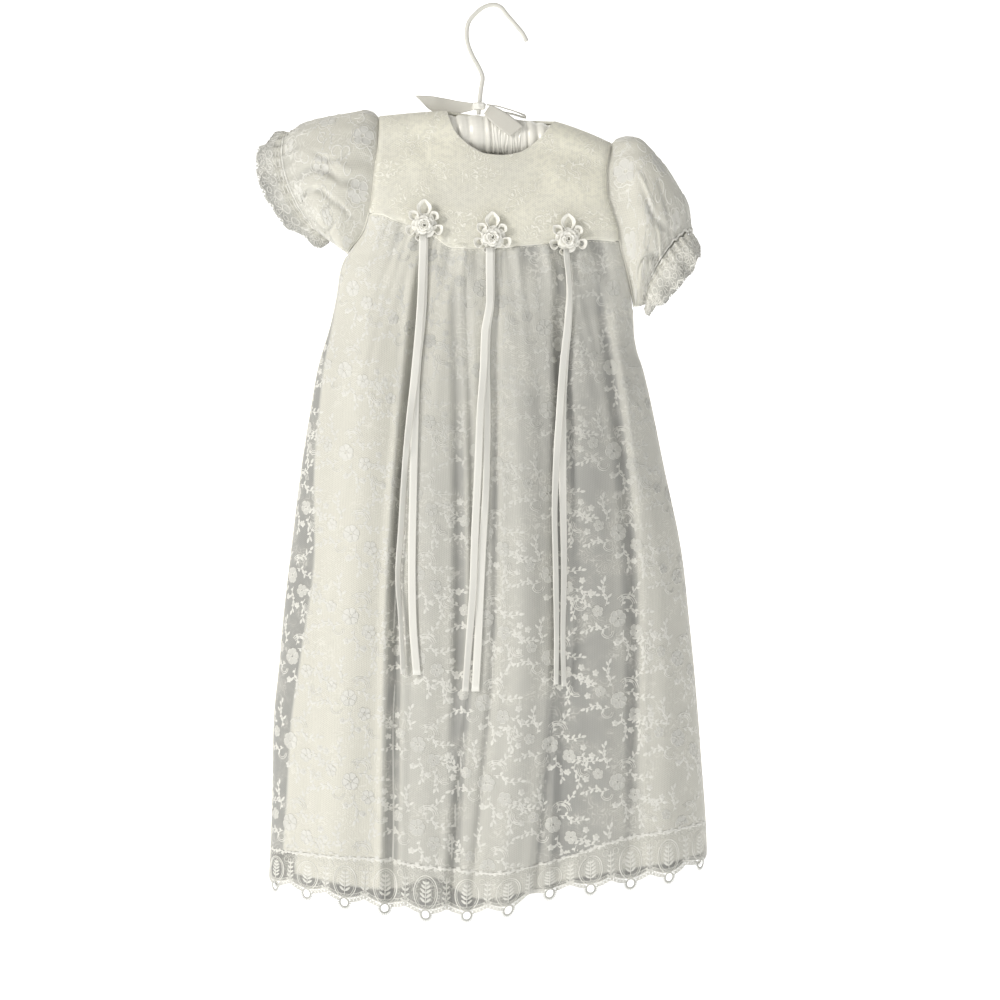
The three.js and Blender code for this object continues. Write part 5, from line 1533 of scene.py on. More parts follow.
def edging_tone(side, grid):
    """Cream where the lining still lies behind the edging; grey and dark with painted shade below the lining's hem
    and at the open side.
    """
    x = grid[..., 0]
    z = grid[..., 2]
    # On the front the painted shade reaches further up round -52 across.
    open_fold = bump((x + 52) / 34) * (side == "front")
    lined = smooth((z - lining_hem(x) - 4 - 10 * open_fold) / 3 + 0.5) * smooth((x - left_edge(z) - 22) / 4)
    return 0.06 + lined * (0.44 + 0.4 * cream_share(side, x, z))


class GOWN_OT_hem_lace(bpy.types.Operator):
    """Make the scalloped edging of the hem, front and back"""

    bl_idname = "gown.hem_lace"
    bl_label = "Hem lace"

    def execute(self, context):
        for side in ("front", "back"):
            columns = SCALLOPS * HEM_STEPS + 1
            k = np.linspace(0, SCALLOPS, columns)[None, :]
            part = np.abs(2 * (k - np.floor(k)) - 1)
            part[0, -1] = 1
            foot = SCALLOP_TALL - SCALLOP_RISE * part ** 2 - 0.8
            down = np.linspace(0, 1, HEM_ROWS)[:, None] * foot
            grid = hem_point(side, k, down)
            uv = stack(k * SCALLOP_WIDE, -down)
            made = sheet_object(
                f"hem_lace_{side}_net", grid, material("edging_net"), 0, side == "back", uv, edging_tone(side, grid)
            )
            sign = 1 if side == "front" else -1

            def point(a, d, side=side):
                return hem_point(side, a / SCALLOP_WIDE, d)

            spots = [Spot(SCALLOP_WIDE * (n + 0.5), 0, 0, 1, 1) for n in range(SCALLOPS)]

            def inside(a, d):
                return (a > 0.2) & (a < SCALLOP_WIDE * SCALLOPS - 0.2)

            work = lay(
                f"hem_lace_{side}_work", hem_motif(), spots, surface_of(point, -sign), material("lace_thread"),
                inside, lambda bright, x, z: bright * (0.15 + 0.85 * smooth((z - scallop_base(x) + 5) / 5)),
            )
            place_on_gown(made, "lace", f"hem_lace_{side}")
            place_on_gown(work, "lace")
        return {"FINISHED"}


# The yoke.
def close_tone(bright, x, z):
    """Thread on close cloth, whose filled shapes hardly differ from the cloth itself."""
    return 0.52 + 0.48 * bright


def neck_back(x):
    share = np.clip((x - NECK_LEFT) / (NECK_RIGHT - NECK_LEFT), 0, 1)
    return shoulder(x) - NECK_BACK_DROP * np.sin(np.pi * share)


def yoke_grid(side, columns_at, rows, top_of):
    share = ((columns_at - SHOULDER_LEFT) / (SHOULDER_RIGHT - SHOULDER_LEFT))[None, :]
    foot = yoke_seam(mix(SEAM_LEFT, SEAM_RIGHT, share)) + SEAM_GAP / 2
    top = top_of(columns_at)[None, :]
    z = mix(top, foot, np.linspace(0, 1, rows)[:, None] ** YOKE_CROWDING)
    x = mix(left_edge(z), right_edge(z), share)
    return stack(x, face_y(side, x, z), z)


def crowded(low, high, count):
    return mix(low, high, (1 - np.cos(np.linspace(0, np.pi, count))) / 2)


def front_top(x):
    return np.where((x > NECK_LEFT) & (x < NECK_RIGHT), neck_front(x), shoulder(x))


def yoke_light_and_shade(grid):
    """Painted light: warm and light at both shoulders; painted shade: cooler low and in the middle."""
    x = grid[..., 0]
    below = shoulder(x) - grid[..., 2]
    light_left = np.exp(-(((x + 52) / 34) ** 2) - ((below - 26) / 34) ** 2)
    light_right = np.exp(-(((x - 66) / 32) ** 2) - ((below - 34) / 36) ** 2)
    light_low = 0.6 * np.exp(-(((x - 20) / 30) ** 2) - ((below - 88) / 24) ** 2)
    return np.clip(0.15 + light_left + 1.5 * light_right + light_low, 0, 1)


class GOWN_OT_yoke(bpy.types.Operator):
    """Make the yoke: lace over satin, in a front and two back halves"""

    bl_idname = "gown.yoke"
    bl_label = "Yoke"

    def execute(self, context):
        left = np.linspace(SHOULDER_LEFT, NECK_LEFT, 28)
        right = np.linspace(NECK_RIGHT, SHOULDER_RIGHT, 24)
        neck = crowded(NECK_LEFT, NECK_RIGHT, 60)[1:-1]
        to_opening = np.linspace(NECK_LEFT, BACK_OPENING - HALF_GAP, 24)[1:]
        from_opening = np.linspace(BACK_OPENING + HALF_GAP, NECK_RIGHT, 26)[:-1]
        panels = [
            ("yoke_front", "front", (left, neck, right), front_top, 0.21),
            ("yoke_back_left", "back", (left, to_opening), neck_back, 0.11),
            ("yoke_back_right", "back", (from_opening, right), neck_back, 0.105),
        ]
        for name, side, runs, top_of, width in panels:
            columns_at = np.concatenate(runs)
            grid = yoke_grid(side, columns_at, YOKE_ROWS, top_of)
            cloth = sheet_object(
                name + "_cloth", grid, material("yoke_lace"), YOKE_WALL, side == "back", grid[..., (0, 2)],
                yoke_light_and_shade(grid),
            )
            low_x = columns_at[0]
            high_x = columns_at[-1]
            sign = 1 if side == "front" else -1

            def point(a, d, side=side):
                return stack(a, face_y(side, a, d), d)

            def inside(a, d, low_x=low_x, high_x=high_x, top_of=top_of):
                share_left = np.maximum(left_edge(d), low_x) if low_x > SHOULDER_LEFT + 1 else left_edge(d)
                share_right = np.minimum(right_edge(d), high_x) if high_x < SHOULDER_RIGHT - 1 else right_edge(d)
                near_top = top_of(a) - d
                near_foot = d - yoke_seam(a)
                return (a > share_left + 3) & (a < share_right - 3) & (near_top > 4) & (near_foot > 2.5)

            spots = brick_spots(YOKE_SEEDS[side], 4, range(-4, 5), 33, -104, -28, 2.5, 0.92)
            work = lay(
                name + "_flowers", swirl_motif(), spots, surface_of(point, sign), material("yoke_thread"), inside,
                close_tone,
            )
            place_on_gown(cloth, "lace_over_satin", name)
            place_on_gown(work, "lace_over_satin")
        return {"FINISHED"}


def stitches(name, line, out, length, gap, radius, mat):
    """A row of small stitches along a line, each a low bead that stands off the cloth."""
    out = np.array(out)
    steps = running(np.linalg.norm(np.diff(line, axis=0), axis=1))
    count = int(steps[-1] / (length + gap))
    points = []
    faces = []
    for n in range(count):
        ends = [(n + 0.1) * (length + gap), (n + 0.1) * (length + gap) + length]
        a, b = (np.array([np.interp(end, steps, line[:, k]) for k in range(3)]) for end in ends)
        side = unit(np.cross(unit(b - a), out))
        first = len(points)
        for share, size in ((0, 0.35), (0.3, 1.0), (0.7, 1.0), (1, 0.35)):
            middle = a + (b - a) * share + out * radius * 0.2
            for turn in range(5):
                angle = 2 * math.pi * turn / 5
                points.append(middle + (side * math.cos(angle) + out * math.sin(angle)) * radius * size)
        for k in range(3):
            for turn in range(5):
                i = first + 5 * k + turn
                j = first + 5 * k + (turn + 1) % 5
                faces.append((i, i + 5, j + 5, j))
    return new_object(name, points, faces, mat, tone=np.ones(len(points)))


def armhole_point(plan, side, a):
    """The armhole's own edge, which the first ring of the sleeve follows."""
    top, under = plan["armhole"]
    share = (1 - np.cos(a)) / 2
    z = mix(top - 0.4, under + 1.5, share)
    edge = left_edge(z) if side == "left" else right_edge(z)
    clear = mix(0.8, 1.4, smooth((share - 0.8) / 0.2))
    x = edge + plan["sign"] * clear
    opening = lens_half(edge, z) * np.where(np.sin(a) > 0, 1, BACK_DEPTH)
    y = -np.sign(np.round(np.sin(a) * 1e6)) * np.maximum(opening, 1.2)
    return stack(x, y, z)


class GOWN_OT_seams(bpy.types.Operator):
    """Make the piping of the neck and armholes, the yoke seam and its stitches"""

    bl_idname = "gown.seams"
    bl_label = "Seams"

    def execute(self, context):
        sizes = context.scene.gown_sizes
        radius = sizes.piping_radius / MM
        stitch = sizes.stitch_length / MM
        mat = material("yoke_thread")
        x = crowded(NECK_LEFT + 0.4, NECK_RIGHT - 0.4, 70)
        z = neck_front(x) - 0.2
        neck = stack(x, face_y("front", x, z) - 0.1, z)
        neck_line = tube_object("neck_piping_front", neck, radius * 0.9, mat)
        inner = crowded(NECK_LEFT + 4, NECK_RIGHT - 4, 60)
        low = neck_front(inner) - 3.4
        sewn = stack(inner, face_y("front", inner, low) - 0.05, low)
        neck_stitches = stitches("neck_stitches", sewn, (0, -1, 0), stitch, stitch * 0.5, 0.22, mat)
        parts = [neck_line, neck_stitches]
        for low_x, high_x in ((NECK_LEFT + 0.4, BACK_OPENING - 0.6), (BACK_OPENING + 0.6, NECK_RIGHT - 0.4)):
            x = np.linspace(low_x, high_x, 30)
            z = neck_back(x) - 0.4
            line = stack(x, face_y("back", x, z) + 0.1, z)
            parts.append(tube_object("neck_piping_back", line, radius * 0.8, mat))
        for side, sign in (("front", -1), ("back", 1)):
            share = np.linspace(0.012, 0.988, 120)
            guide = mix(SEAM_LEFT, SEAM_RIGHT, share)
            z = yoke_seam(guide)
            x = mix(left_edge(z), right_edge(z), share)
            seam = stack(x, face_y(side, x, z) + sign * 0.1, z)
            parts.append(tube_object(f"yoke_seam_{side}", seam, radius * 0.75, mat))
            for off in (1.9, -2.0):
                line = stack(x, face_y(side, x, z + off) + sign * 0.05, z + off)
                parts.append(stitches("yoke_stitches", line, (0, sign, 0), stitch, stitch * 0.45, 0.2, mat))
        for x in (BACK_OPENING - 1.6, BACK_OPENING + 1.6):
            z = np.linspace(neck_back(x) - 1.5, yoke_seam(x) + 2, 40)
            line = stack(x, face_y("back", x, z) + 0.05, z)
            parts.append(stitches("back_opening_stitches", line, (0, 1, 0), stitch, stitch * 0.45, 0.2, mat))
        for edge, under, sign in ((left_edge, -216, -1), (right_edge, -262, 1)):
            z = np.linspace(under - 1, float(heading(np.array(sign * 190.0))) - 26, 90)
            line = stack(edge(z) + sign * 0.1, 0, z)
            parts.append(tube_object("side_seam", line, radius * 0.7, mat))
        for low_x, high_x in ((-88, NECK_LEFT - 0.5), (NECK_RIGHT + 0.5, 90)):
            x = np.linspace(low_x, high_x, 40)
            parts.append(tube_object("shoulder_seam", stack(x, 0, shoulder(x) - 0.1), radius * 0.7, mat))
        seams = joined_object("gown_seams", parts)
        place_on_gown(seams, "lace_over_satin")
        for side, plan in SLEEVES.items():
            line = armhole_point(plan, side, np.linspace(0, 2 * np.pi, 90, endpoint=False))
            ring = tube_object(f"armhole_piping_{side}", line, radius * 0.72, mat, closed=True)
            place_on_gown(ring, "lace_over_satin")
        return {"FINISHED"}


# The sleeves.
def sleeve_ring_point(plan, rings, v, a):
    def read(column):
        return Curve([(ring.v, getattr(ring, column)) for ring in rings])(v)

    down = (1 - np.cos(a)) / 2
    swing = np.sin(a)
    bow = np.where(swing > 0, read("front"), read("back")) * np.abs(swing)
    x = mix(read("top_x"), read("foot_x"), down) + plan["out"][0] * bow
    z = mix(read("top_z"), read("foot_z"), down) + plan["out"][1] * bow
    return stack(x, -read("half") * swing, z), down, swing


def sleeve_crease(plan, v, down, swing):
    """How deep the creases are pressed in at a place of the sleeve's front."""
    deep = np.zeros(np.broadcast(v, down).shape)
    for crease in plan["creases"]:
        place = down + 0.06 * np.sin(9 * v + 30 * crease.v)
        beside = bump((place - crease.down) / crease.reach_down)
        deep = deep + crease.deep * beside * bump((v - crease.v) / crease.reach_v)
    return deep * (swing > 0)


def sleeve_point(plan, side, v, a):
    point, down, swing = sleeve_ring_point(plan, plan["rings"], v, a)
    wander = 0.5 * np.sin(3 * a + 1) + 0.35 * np.sin(7 * a)
    cap = 1.15 * np.sin(CAP_GATHERS * a + wander) * bump(v / 0.5) * smooth(1.5 - down * 1.5)
    cuff = 1.25 * np.sin(CUFF_GATHERS * a + 1.4 * wander) * bump((1 - v) / 0.3)
    cuff = cuff + 0.8 * np.sin(CUFF_GATHERS * a / 2 + wander) * bump((1 - v) / 0.7)
    out = (cap + cuff) * smooth(v / SLEEVE_JOIN)
    out = out - sleeve_crease(plan, v, down, swing)
    point[..., 1] -= out * swing
    point[..., 2] += out * np.cos(a)
    join = smooth(v / SLEEVE_JOIN)[..., None]
    return mix(armhole_point(plan, side, a), point, join)


def ruffle_point(plan, v, a):
    point, down, swing = sleeve_ring_point(plan, plan["lace"], v, a)
    wander = 0.5 * np.sin(3 * a + 1) + 0.35 * np.sin(7 * a)
    cuff = 1.25 * np.sin(CUFF_GATHERS * a + 1.4 * wander) * (1 - smooth(v / 0.5))
    wave = RUFFLE_OUT * np.sin(RUFFLE_WAVES * a + 0.8) * smooth(v)
    out = cuff + wave
    point[..., 1] -= out * swing
    point[..., 2] += out * np.cos(a)
    return point


class GOWN_OT_sleeves(bpy.types.Operator):
    """Make the puffed sleeves with their lace swirls, and the lace at the cuffs"""

    bl_idname = "gown.sleeves"
    bl_label = "Sleeves"

    def execute(self, context):
        for side, plan in SLEEVES.items():
            flip = side == "right"
            rows, columns = SLEEVE_GRID
            a = np.linspace(0, 2 * np.pi, columns)[None, :]
            v = np.linspace(0, 1, rows)[:, None]
            grid = sleeve_point(plan, side, v, a)
            uv = stack(a * SLEEVE_ROUND, -v * SLEEVE_LONG)
            creased = sleeve_crease(plan, v, (1 - np.cos(a)) / 2, np.sin(a))
            # Painted shade: grey towards the armhole and more towards the cuff, and greyer in the creases.
            tone = 0.5 + 0.5 * bump((v - 0.4) / 0.7) - 0.12 * creased
            cloth = sheet_object(
                f"sleeve_{side}_cloth", grid, material("sleeve_net"), 0, flip, uv, np.clip(tone, 0, 1), joined=True
            )

            def point(across_mm, down_mm, plan=plan, side=side):
                return sleeve_point(plan, side, np.clip(down_mm / SLEEVE_LONG, 0, 1), across_mm / SLEEVE_ROUND)

            def inside(across_mm, down_mm):
                return (down_mm > 7) & (down_mm < 74)

            spots = brick_spots(SLEEVE_SEEDS[side], 3, range(7), 30.5, 14, 27, 2, 0.85)
            work = lay(
                f"sleeve_{side}_flowers", swirl_motif(), spots,
                surface_of(point, -1 if side == "left" else 1), material("lace_thread"), inside, close_tone,
            )
            around = np.linspace(0, 2 * np.pi, 120, endpoint=False)
            line = sleeve_point(plan, side, CUFF_CORD_AT, around)
            band = tube_object(f"cuff_cord_{side}", line, CUFF_CORD_RADIUS, material("lace_thread"), 6, closed=True)
            place_on_gown(cloth, "lace", f"sleeve_{side}")
            place_on_gown(work, "lace")
            place_on_gown(band, "lace")
            self.ruffle(side, plan, flip)
        return {"FINISHED"}

    def ruffle(self, side, plan, flip):
        a = np.linspace(0, 2 * np.pi, RUFFLE_SCALLOPS * RUFFLE_STEPS + 1)[None, :]
        edge = np.abs(np.sin(RUFFLE_SCALLOPS * a / 2))
        last = 1 - (RUFFLE_DEEP / RUFFLE_TALL) * (1 - edge)
        v = np.linspace(0, 1, RUFFLE_ROWS)[:, None] * last
        grid = ruffle_point(plan, v, a)
        uv = stack(a * 30, -v * RUFFLE_TALL)
        # Painted shade: the net darkens towards the scalloped edge.
        tone = 0.85 - 0.6 * smooth(v * 1.2)
        net = sheet_object(f"sleeve_lace_{side}_net", grid, material("ruffle_net"), 0, flip, uv, tone, joined=True)
        around = RUFFLE_STEP * RUFFLE_SCALLOPS

        def point(across_mm, down_mm):
            return ruffle_point(plan, np.clip(down_mm / RUFFLE_TALL, 0, 1.06), across_mm * 2 * np.pi / around)

        spots = [Spot(RUFFLE_STEP * (n + 0.5), 0, 0, 1, 1) for n in range(RUFFLE_SCALLOPS)]
        work = lay(
            f"sleeve_lace_{side}_work", ruffle_motif(), spots,
            surface_of(point, -1 if side == "left" else 1, 0.1), material("lace_thread"),
        )
        place_on_gown(net, "lace", f"sleeve_lace_{side}")
        place_on_gown(work, "lace")


# Ribbon trimmings.
def foremost(x, z, reach):
    """The most forward point of the gown's front round a place."""
    y = np.zeros(np.broadcast(x, z).shape)
    for dx in (-1, -0.5, 0, 0.5, 1):
        for dz in (-1, -0.5, 0, 0.5, 1):
            y = np.minimum(y, face_y("front", x + dx * reach, z + dz * reach))
    return y


def ribbon_object(name, middles, wides, wall, satin="ribbon_satin", edge_high=0.18, columns=9):
    """A ribbon from its middle line and half widths, with a corded edge on either side."""
    across_ribbon = np.linspace(-1, 1, columns)[None, :, None]
    grid = middles[:, None, :] + wides[:, None, :] * across_ribbon
    along = np.gradient(middles, axis=0)
    out = unit(np.cross(wides, along))
    lift = edge_high * (np.abs(across_ribbon[..., 0]) > 0.8)
    grid = grid + out[:, None, :] * lift[..., None]
    steps = running(np.linalg.norm(np.diff(middles, axis=0), axis=1))
    half = np.linalg.norm(wides, axis=1)[:, None]
    uv = stack(across_ribbon[..., 0] * half, -steps[:, None])
    # Painted shade greys the middle of the ribbon, leaving its edges bright.
    tone = mix(0.6, 1, smooth((np.abs(across_ribbon[..., 0]) - 0.45) / 0.4))
    return sheet_object(name, grid, material(satin), wall, False, uv, tone)


class GOWN_OT_streamers(bpy.types.Operator):
    """Hang two satin streamers below each rosette"""

    bl_idname = "gown.streamers"
    bl_label = "Streamers"

    def execute(self, context):
        wall = context.scene.gown_sizes.ribbon_wall / MM
        beneath = None
        for name, reach, over, rows in STREAMERS:
            x_at = Curve([(row[0], row[1]) for row in rows])
            turn_at = Curve([(row[0], row[2]) for row in rows])
            first = rows[0][0]
            last = rows[-1][0]
            z = np.linspace(first + TUCKED_UNDER, last, 76)
            strand = self.strand(z, x_at, turn_at, reach, beneath if over else None)
            middles = stack(strand["x"], strand["y"], z)
            half = STREAMER_WIDTH / 2
            wides = stack(half * np.cos(strand["turn"]), half * np.sin(strand["turn"]), 0)
            made = ribbon_object(f"streamer_{name}_ribbon", middles, wides, wall)
            place_on_gown(made, "satin_ribbon", f"streamer_{name}")
            beneath = None if over else {"x_at": x_at, "turn_at": turn_at, "reach": reach, "last": last}
        return {"FINISHED"}

    def strand(self, z, x_at, turn_at, reach, beneath):
        half = STREAMER_WIDTH / 2
        turn = np.radians(turn_at(z))
        x = x_at(z)
        lift = half * np.abs(np.sin(turn))
        y = foremost(x, z, reach) - SEAM_GAP - RIBBON_WALL - lift
        flat = half * np.cos(turn)
        if beneath is not None:
            other = self.strand(z, beneath["x_at"], beneath["turn_at"], beneath["reach"], None)
            apart = np.abs(x - other["x"]) - flat - other["flat"] - SEAM_GAP
            above = other["y"] - other["lift"] - RIBBON_WALL - 2 * SEAM_GAP - lift
            seated = mix(y, np.minimum(y, above), smooth(1 - apart / 2.5))
            y = np.where(z >= beneath["last"], seated, y)
        return {"x": x, "y": y, "flat": flat, "lift": lift, "turn": turn}


class GOWN_OT_rosettes(bpy.types.Operator):
    """Wind the three ribbon roses and their loops"""

    bl_idname = "gown.rosettes"
    bl_label = "Rosettes"

    def execute(self, context):
        made = []
        for number, rosette in enumerate(ROSETTES):
            seat = float(foremost(np.array(rosette.x), np.array(rosette.z), 6)) - SEAM_GAP
            parts = [self.rose(number)]
            parts += [self.petal(layer, k, number) for layer in ROSE_LAYERS for k in range(layer.count)]
            parts += [self.loop(loop) for loop in ROSE_LOOPS]
            piece = joined_object(f"rosette_{rosette.name}_ribbon", parts)
            piece.data.transform(Matrix.Translation(Vector((rosette.x, seat, rosette.z)) * MM))
            place_on_gown(piece, "satin_ribbon", f"rosette_{rosette.name}")
            made.append(piece)
        carried = made + [bpy.data.objects[f"streamer_{row[0]}_ribbon"] for row in STREAMERS]
        carried.append(bpy.data.objects["skirt_lace_front_flowers"])
        return {"FINISHED"}

    def rose(self, number):
        """The heart of the rose: a ribbon wound in a spiral, its upper edge turned over."""
        angle = np.linspace(0, 1.9 * 2 * np.pi, 70) + number * 0.9
        share = np.linspace(0, 1, 70)
        radius = 0.5 + 2.7 * share
        rows = []
        for up, flare in ((0.0, 0.0), (0.6, 0.1), (0.9, 0.4), (1.0, 0.8)):
            reach = radius + flare
            height = -mix(3.0, mix(8.6, 7.2, share), up) + (0.25 if up == 1.0 else 0)
            rows.append(stack(reach * np.cos(angle), height, reach * np.sin(angle)))
        return sheet_object("rose_heart", np.stack(rows, axis=0), material("ribbon_satin"), 0.25)

    def petal(self, layer, k, number):
        """A petal: a cupped fold of ribbon with its rim curled back."""
        u = np.linspace(-1, 1, 15)[None, :]
        w = np.linspace(0, 1, 10)[:, None]
        middle = 2 * math.pi * k / layer.count + layer.turn + 0.35 * number
        angle = middle + u * layer.span * (1 - 0.15 * w)
        rim = layer.outer * (1 - 0.2 * np.abs(u) ** 2.5) * (1 + 0.05 * math.sin(3 * k + number))
        reach = mix(layer.inner, rim, w)
        lift = layer.base + 0.35 * (k % 2) + layer.rise * w ** 0.8 + 0.9 * u ** 2 * w
        curl = layer.curl * smooth((w - 0.7) / 0.3)
        ripple = 0.22 * np.sin(7 * u + 2 * k) * w
        grid = stack(reach * np.cos(angle), -(lift + ripple - curl), reach * np.sin(angle))
        return sheet_object("rose_petal", grid, material("ribbon_satin"), 0.3)

    def loop(self, loop):
        """A standing loop of ribbon seen edge on."""
        turn = math.radians(loop.angle)
        forward = (math.cos(turn), math.sin(turn))
        aside = (-forward[1], forward[0])
        t = np.linspace(0, 1, 26)[:, None]
        i = np.linspace(0, 1, 7)[None, :]
        reach = np.sin(np.pi * t)
        far = loop.start + (loop.long - 1.2 + 2.6 * i) * mix(reach, 1 - np.abs(2 * t - 1), 0.85 * loop.pointed)
        wide = np.sin(2 * np.pi * t) * (1.1 + 0.95 * i)
        x = forward[0] * far + aside[0] * wide * loop.wide / 2
        z = forward[1] * far + aside[1] * wide * loop.wide / 2
        y = -0.5 - LOOP_BAND * 0.8 * i - 1.2 * reach
        return sheet_object("rose_loop", stack(x, y, z), material("ribbon_satin"), 0.45)


class GOWN_OT_buttons(bpy.types.Operator):
    """Set the three buttons of the centre back"""

    bl_idname = "gown.buttons"
    bl_label = "Back buttons"

    def execute(self, context):
        offsets = np.array([-BUTTON_RADIUS, 0, BUTTON_RADIUS])
        for number, z in BUTTONS:
            seat = float(face_y("back", BACK_OPENING + offsets[:, None], z + offsets[None, :]).max())
            select_nothing()
            place = Vector((BACK_OPENING, seat + SEAM_GAP + BUTTON_HIGH / 2, z)) * MM
            bpy.ops.mesh.primitive_cylinder_add(
                vertices=40, radius=BUTTON_RADIUS * MM, depth=BUTTON_HIGH * MM, location=place,
                rotation=(math.radians(90), 0, 0),
            )
            made = context.active_object
            bpy.ops.object.transform_apply(location=True, rotation=True, scale=True)
            bpy.ops.object.mode_set(mode="EDIT")
            bpy.ops.mesh.select_mode(type="FACE")
            bpy.ops.mesh.select_all(action="DESELECT")
            bpy.ops.object.mode_set(mode="OBJECT")
            face = max(made.data.polygons, key=lambda polygon: polygon.center.y)
            face.select = True
            bpy.ops.object.mode_set(mode="EDIT")
            bpy.ops.mesh.inset(thickness=BUTTON_RIM * MM, depth=0)
            bpy.ops.mesh.inset(thickness=BUTTON_SINK * MM, depth=-BUTTON_SINK * MM)
            bpy.ops.object.mode_set(mode="OBJECT")
            bevel = {"width": BUTTON_BEVEL * MM, "segments": 3, "limit_method": "ANGLE", "angle_limit": 0.5}
            finish_with(made, "BEVEL", bevel)
            made.name = f"back_button_{number}_pearl"
            made.data.materials.append(material("pearl_button"))
            only(made)
            bpy.ops.object.shade_smooth_by_angle(angle=math.radians(35))
            place_on_gown(made, "button", f"back_button_{number}")
        return {"FINISHED"}


# The hanger.
def bar_half(x, column):
    return Curve([(row[0], row[column]) for row in BAR_HALF])(x)


def bar_top(x):
    return shoulder(x) - YOKE_WALL - BAR_CLEAR


def bar_section(x):
    end = np.minimum(x - BAR_LEFT, BAR_RIGHT - x)
    t = 1 - np.clip(end / BAR_ROUND, 0.02, 1)
    blunt = np.sqrt(1 - t ** 3)
    return bar_half(x, 1) * blunt, bar_half(x, 2) * blunt, bar_top(x) - bar_half(x, 1)


def bar_front(x, z):
    high, deep, middle = bar_section(x)
    t = np.clip((z - middle) / high, -1, 1)
    return -deep * np.sqrt(1 - t * t)


def bar_relief(x, turn):
    """The folds of the bar's cover and the fine ruching in the middle of its front."""
    out = np.zeros(np.broadcast(x, turn).shape)
    lean = x + 1.5 * np.sin(turn + 0.6)
    for place, reach, high in BAR_FOLDS:
        out = out + high * bump((lean - place) / reach)
    ruche = smooth((x - RUCHE_LEFT) / 2) * smooth((RUCHE_RIGHT - x) / 2)
    wander = 1.1 * np.sin(turn * 2.6 + x * 0.4) + 0.6 * np.sin(x * 1.1)
    pleats = 0.42 * np.sin(2 * np.pi * (x + wander) / RUCHE_PLEAT)
    return out + ruche * (pleats - 0.15)


class GOWN_OT_hanger(bpy.types.Operator):
    """Make the padded bar and the wrapped hook"""

    bl_idname = "gown.hanger"
    bl_label = "Hanger"

    def execute(self, context):
        x = np.linspace(BAR_LEFT, BAR_RIGHT, 380)[None, :]
        turn = np.linspace(0, 2 * np.pi, 49)[:, None]
        high, deep, middle = bar_section(x)
        relief = np.minimum(bar_relief(x, turn), 0.75)
        grid = stack(x, (deep + relief) * np.sin(turn), middle + (high + relief * 0.7 - 0.5) * np.cos(turn))
        uv = stack(turn * 14, x)
        bar = sheet_object("hanger_bar_pad", grid, material("bar_satin"), 0, False, uv, joined=True)
        weld(bar, 0.2)
        bpy.ops.object.mode_set(mode="EDIT")
        bpy.ops.mesh.select_mode(type="EDGE")
        bpy.ops.mesh.select_all(action="DESELECT")
        bpy.ops.mesh.select_non_manifold()
        bpy.ops.mesh.fill_holes(sides=0)
        bpy.ops.mesh.select_all(action="SELECT")
        bpy.ops.mesh.normals_make_consistent(inside=False)
        bpy.ops.object.mode_set(mode="OBJECT")
        place_on_gown(bar, "padded_satin", "hanger_bar")

        points = np.array([(px, 0.0, pz) for px, pz in HOOK_LINE])
        known = running(np.sqrt(np.linalg.norm(np.diff(points, axis=0), axis=1)))
        wanted = np.linspace(0, known[-1], 320)
        line = self.catmull(points, known, wanted)
        line[0, 2] = float(bar_top(np.array(HOOK_LINE[0][0]))) + SEAM_GAP

        def wound(k, angle):
            t = (k / TAPE_PITCH + angle / (2 * np.pi)) % 1
            return 0.93 + 0.09 * np.sqrt(np.clip(1 - (2 * t - 1) ** 4, 0, 1))

        hook = tube_object("hanger_hook_tape", line, HOOK_RADIUS, material("hook_tape"), 18, wound)
        place_on_gown(hook, "wrapped_wire", "hanger_hook")
        return {"FINISHED"}

    def catmull(self, points, known, wanted):
        """A centripetal curve through the points."""
        tangents = np.gradient(points, known, axis=0)
        i = np.clip(np.searchsorted(known, wanted, side="right") - 1, 0, len(known) - 2)
        span = (known[i + 1] - known[i])[:, None]
        t = (wanted[:, None] - known[i][:, None]) / span
        start = points[i] * (2 * t ** 3 - 3 * t ** 2 + 1) + tangents[i] * span * (t ** 3 - 2 * t ** 2 + t)
        return start + points[i + 1] * (3 * t ** 2 - 2 * t ** 3) + tangents[i + 1] * span * (t ** 3 - t ** 2)


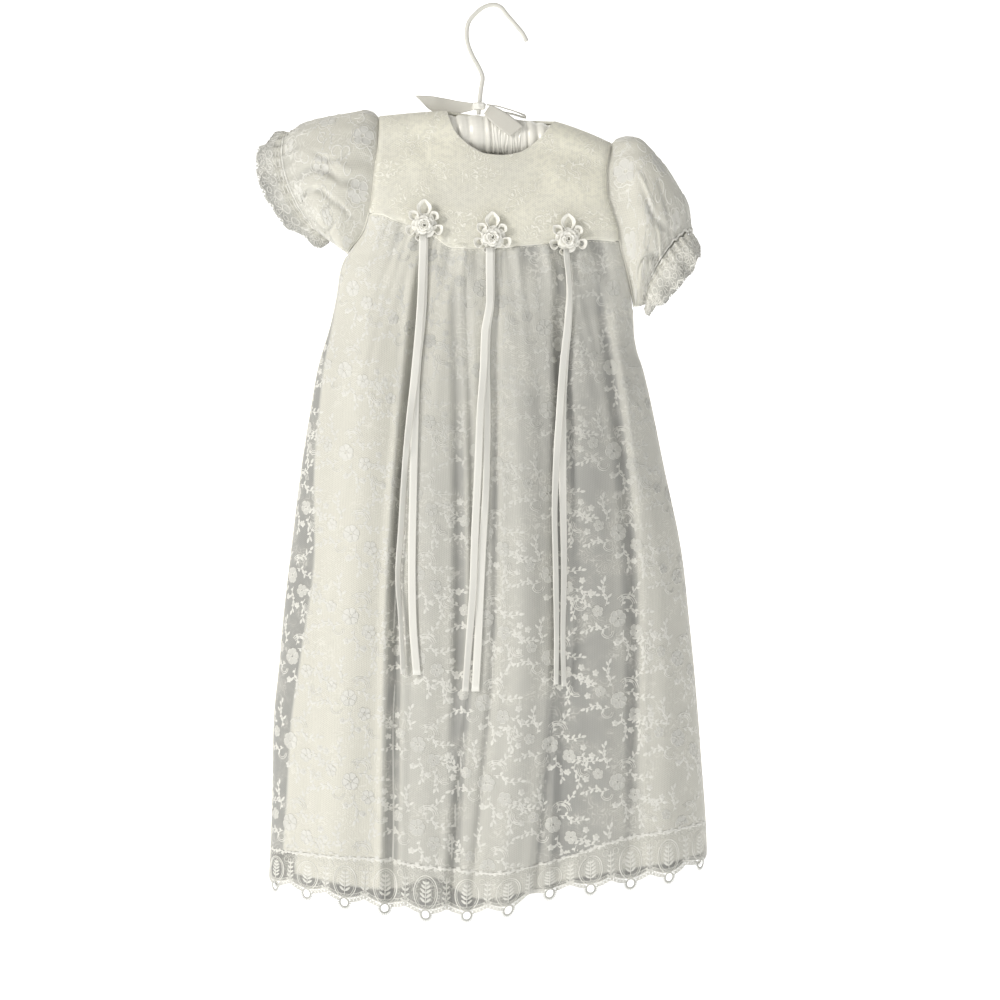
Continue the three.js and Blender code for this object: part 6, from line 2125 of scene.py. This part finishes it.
class GOWN_OT_bow(bpy.types.Operator):
    """Tie the satin bow: knot, two tails and the loop"""

    bl_idname = "gown.bow"
    bl_label = "Bow"

    def execute(self, context):
        wall = context.scene.gown_sizes.ribbon_wall / MM
        rows = curve_through(BOW_TAIL_LEFT, 40)
        left = ribbon_object("bow_tail_left_ribbon", rows[:, :3], rows[:, 3:], wall, "bow_satin", 0.2, 11)
        rows = curve_through(BOW_TAIL_RIGHT, 34)
        x, z, wx, wz = rows.T
        over = np.minimum(np.minimum(bar_front(x, z), bar_front(x + wx, z + wz)), bar_front(x - wx, z - wz))
        middles = stack(x, over - TAIL_CLEAR - wall - 0.4, z)
        right = ribbon_object("bow_tail_right_ribbon", middles, stack(wx, 0, wz), wall, "bow_satin", 0.2, 11)
        rows = curve_through(BOW_LOOP, 64)
        x, z, wy, wz = rows.T
        z = np.maximum(z, bar_top(x) + BOW_LOOP_CLEAR)
        loop = ribbon_object(
            "bow_loop_ribbon", stack(x, BOW_LOOP_Y, z), stack(0, wy, wz), wall, "bow_satin", 0.2, 11
        )
        place_on_gown(left, "satin_ribbon", "bow_tail_left")
        place_on_gown(right, "satin_ribbon", "bow_tail_right")
        place_on_gown(loop, "satin_ribbon", "bow_loop")

        turn = np.linspace(0, 2 * np.pi, 61)[None, :]
        radius, share = np.hsplit(np.array(KNOT_PROFILE), 2)
        height = share * KNOT["high"]
        swell = np.where(radius > KNOT["inner"], 1 + 0.08 * np.cos(2 * turn), 1)
        crease = np.where(radius > 4, 0.18 * np.sin(7 * turn + 3 * share), 0)
        lean = -math.atan2(*KNOT["lean"])
        x = (radius * swell + crease) * np.cos(turn) - height * math.sin(lean) + KNOT["x"]
        y = (radius * 0.9 * swell + crease) * np.sin(turn)
        grid = stack(x, y, KNOT["z"] + height)
        knot = sheet_object("bow_knot_ribbon", grid, material("ribbon_satin"), 0, False, joined=True)
        place_on_gown(knot, "satin_ribbon", "bow_knot")
        return {"FINISHED"}


class GOWN_PT_panel(bpy.types.Panel):
    """The gown's pieces, its sizes and its colours"""

    bl_idname = "GOWN_PT_panel"
    bl_label = "Christening Gown"
    bl_space_type = "VIEW_3D"
    bl_region_type = "UI"
    bl_category = "Gown"

    def draw(self, context):
        for group in (context.scene.gown_sizes, context.scene.gown_colours):
            for name in group.__annotations__:
                self.layout.prop(group, name)
        for operator in OPERATORS:
            self.layout.operator(operator.bl_idname)


OPERATORS = (
    GOWN_OT_stage,
    GOWN_OT_lining,
    GOWN_OT_skirt_lace,
    GOWN_OT_hem_lace,
    GOWN_OT_yoke,
    GOWN_OT_seams,
    GOWN_OT_sleeves,
    GOWN_OT_streamers,
    GOWN_OT_rosettes,
    GOWN_OT_buttons,
    GOWN_OT_hanger,
    GOWN_OT_bow,
)
CLASSES = (GownColours, GownSizes, *OPERATORS, GOWN_PT_panel)


def register():
    for kind in CLASSES:
        bpy.utils.register_class(kind)
    bpy.types.Scene.gown_colours = bpy.props.PointerProperty(type=GownColours)
    bpy.types.Scene.gown_sizes = bpy.props.PointerProperty(type=GownSizes)


def unregister():
    del bpy.types.Scene.gown_sizes
    del bpy.types.Scene.gown_colours
    for kind in reversed(CLASSES):
        bpy.utils.unregister_class(kind)


def main():
    register()
    for operator in OPERATORS:
        group, name = operator.bl_idname.split(".")
        getattr(getattr(bpy.ops, group), name)()


if __name__ == "__main__":
    main()
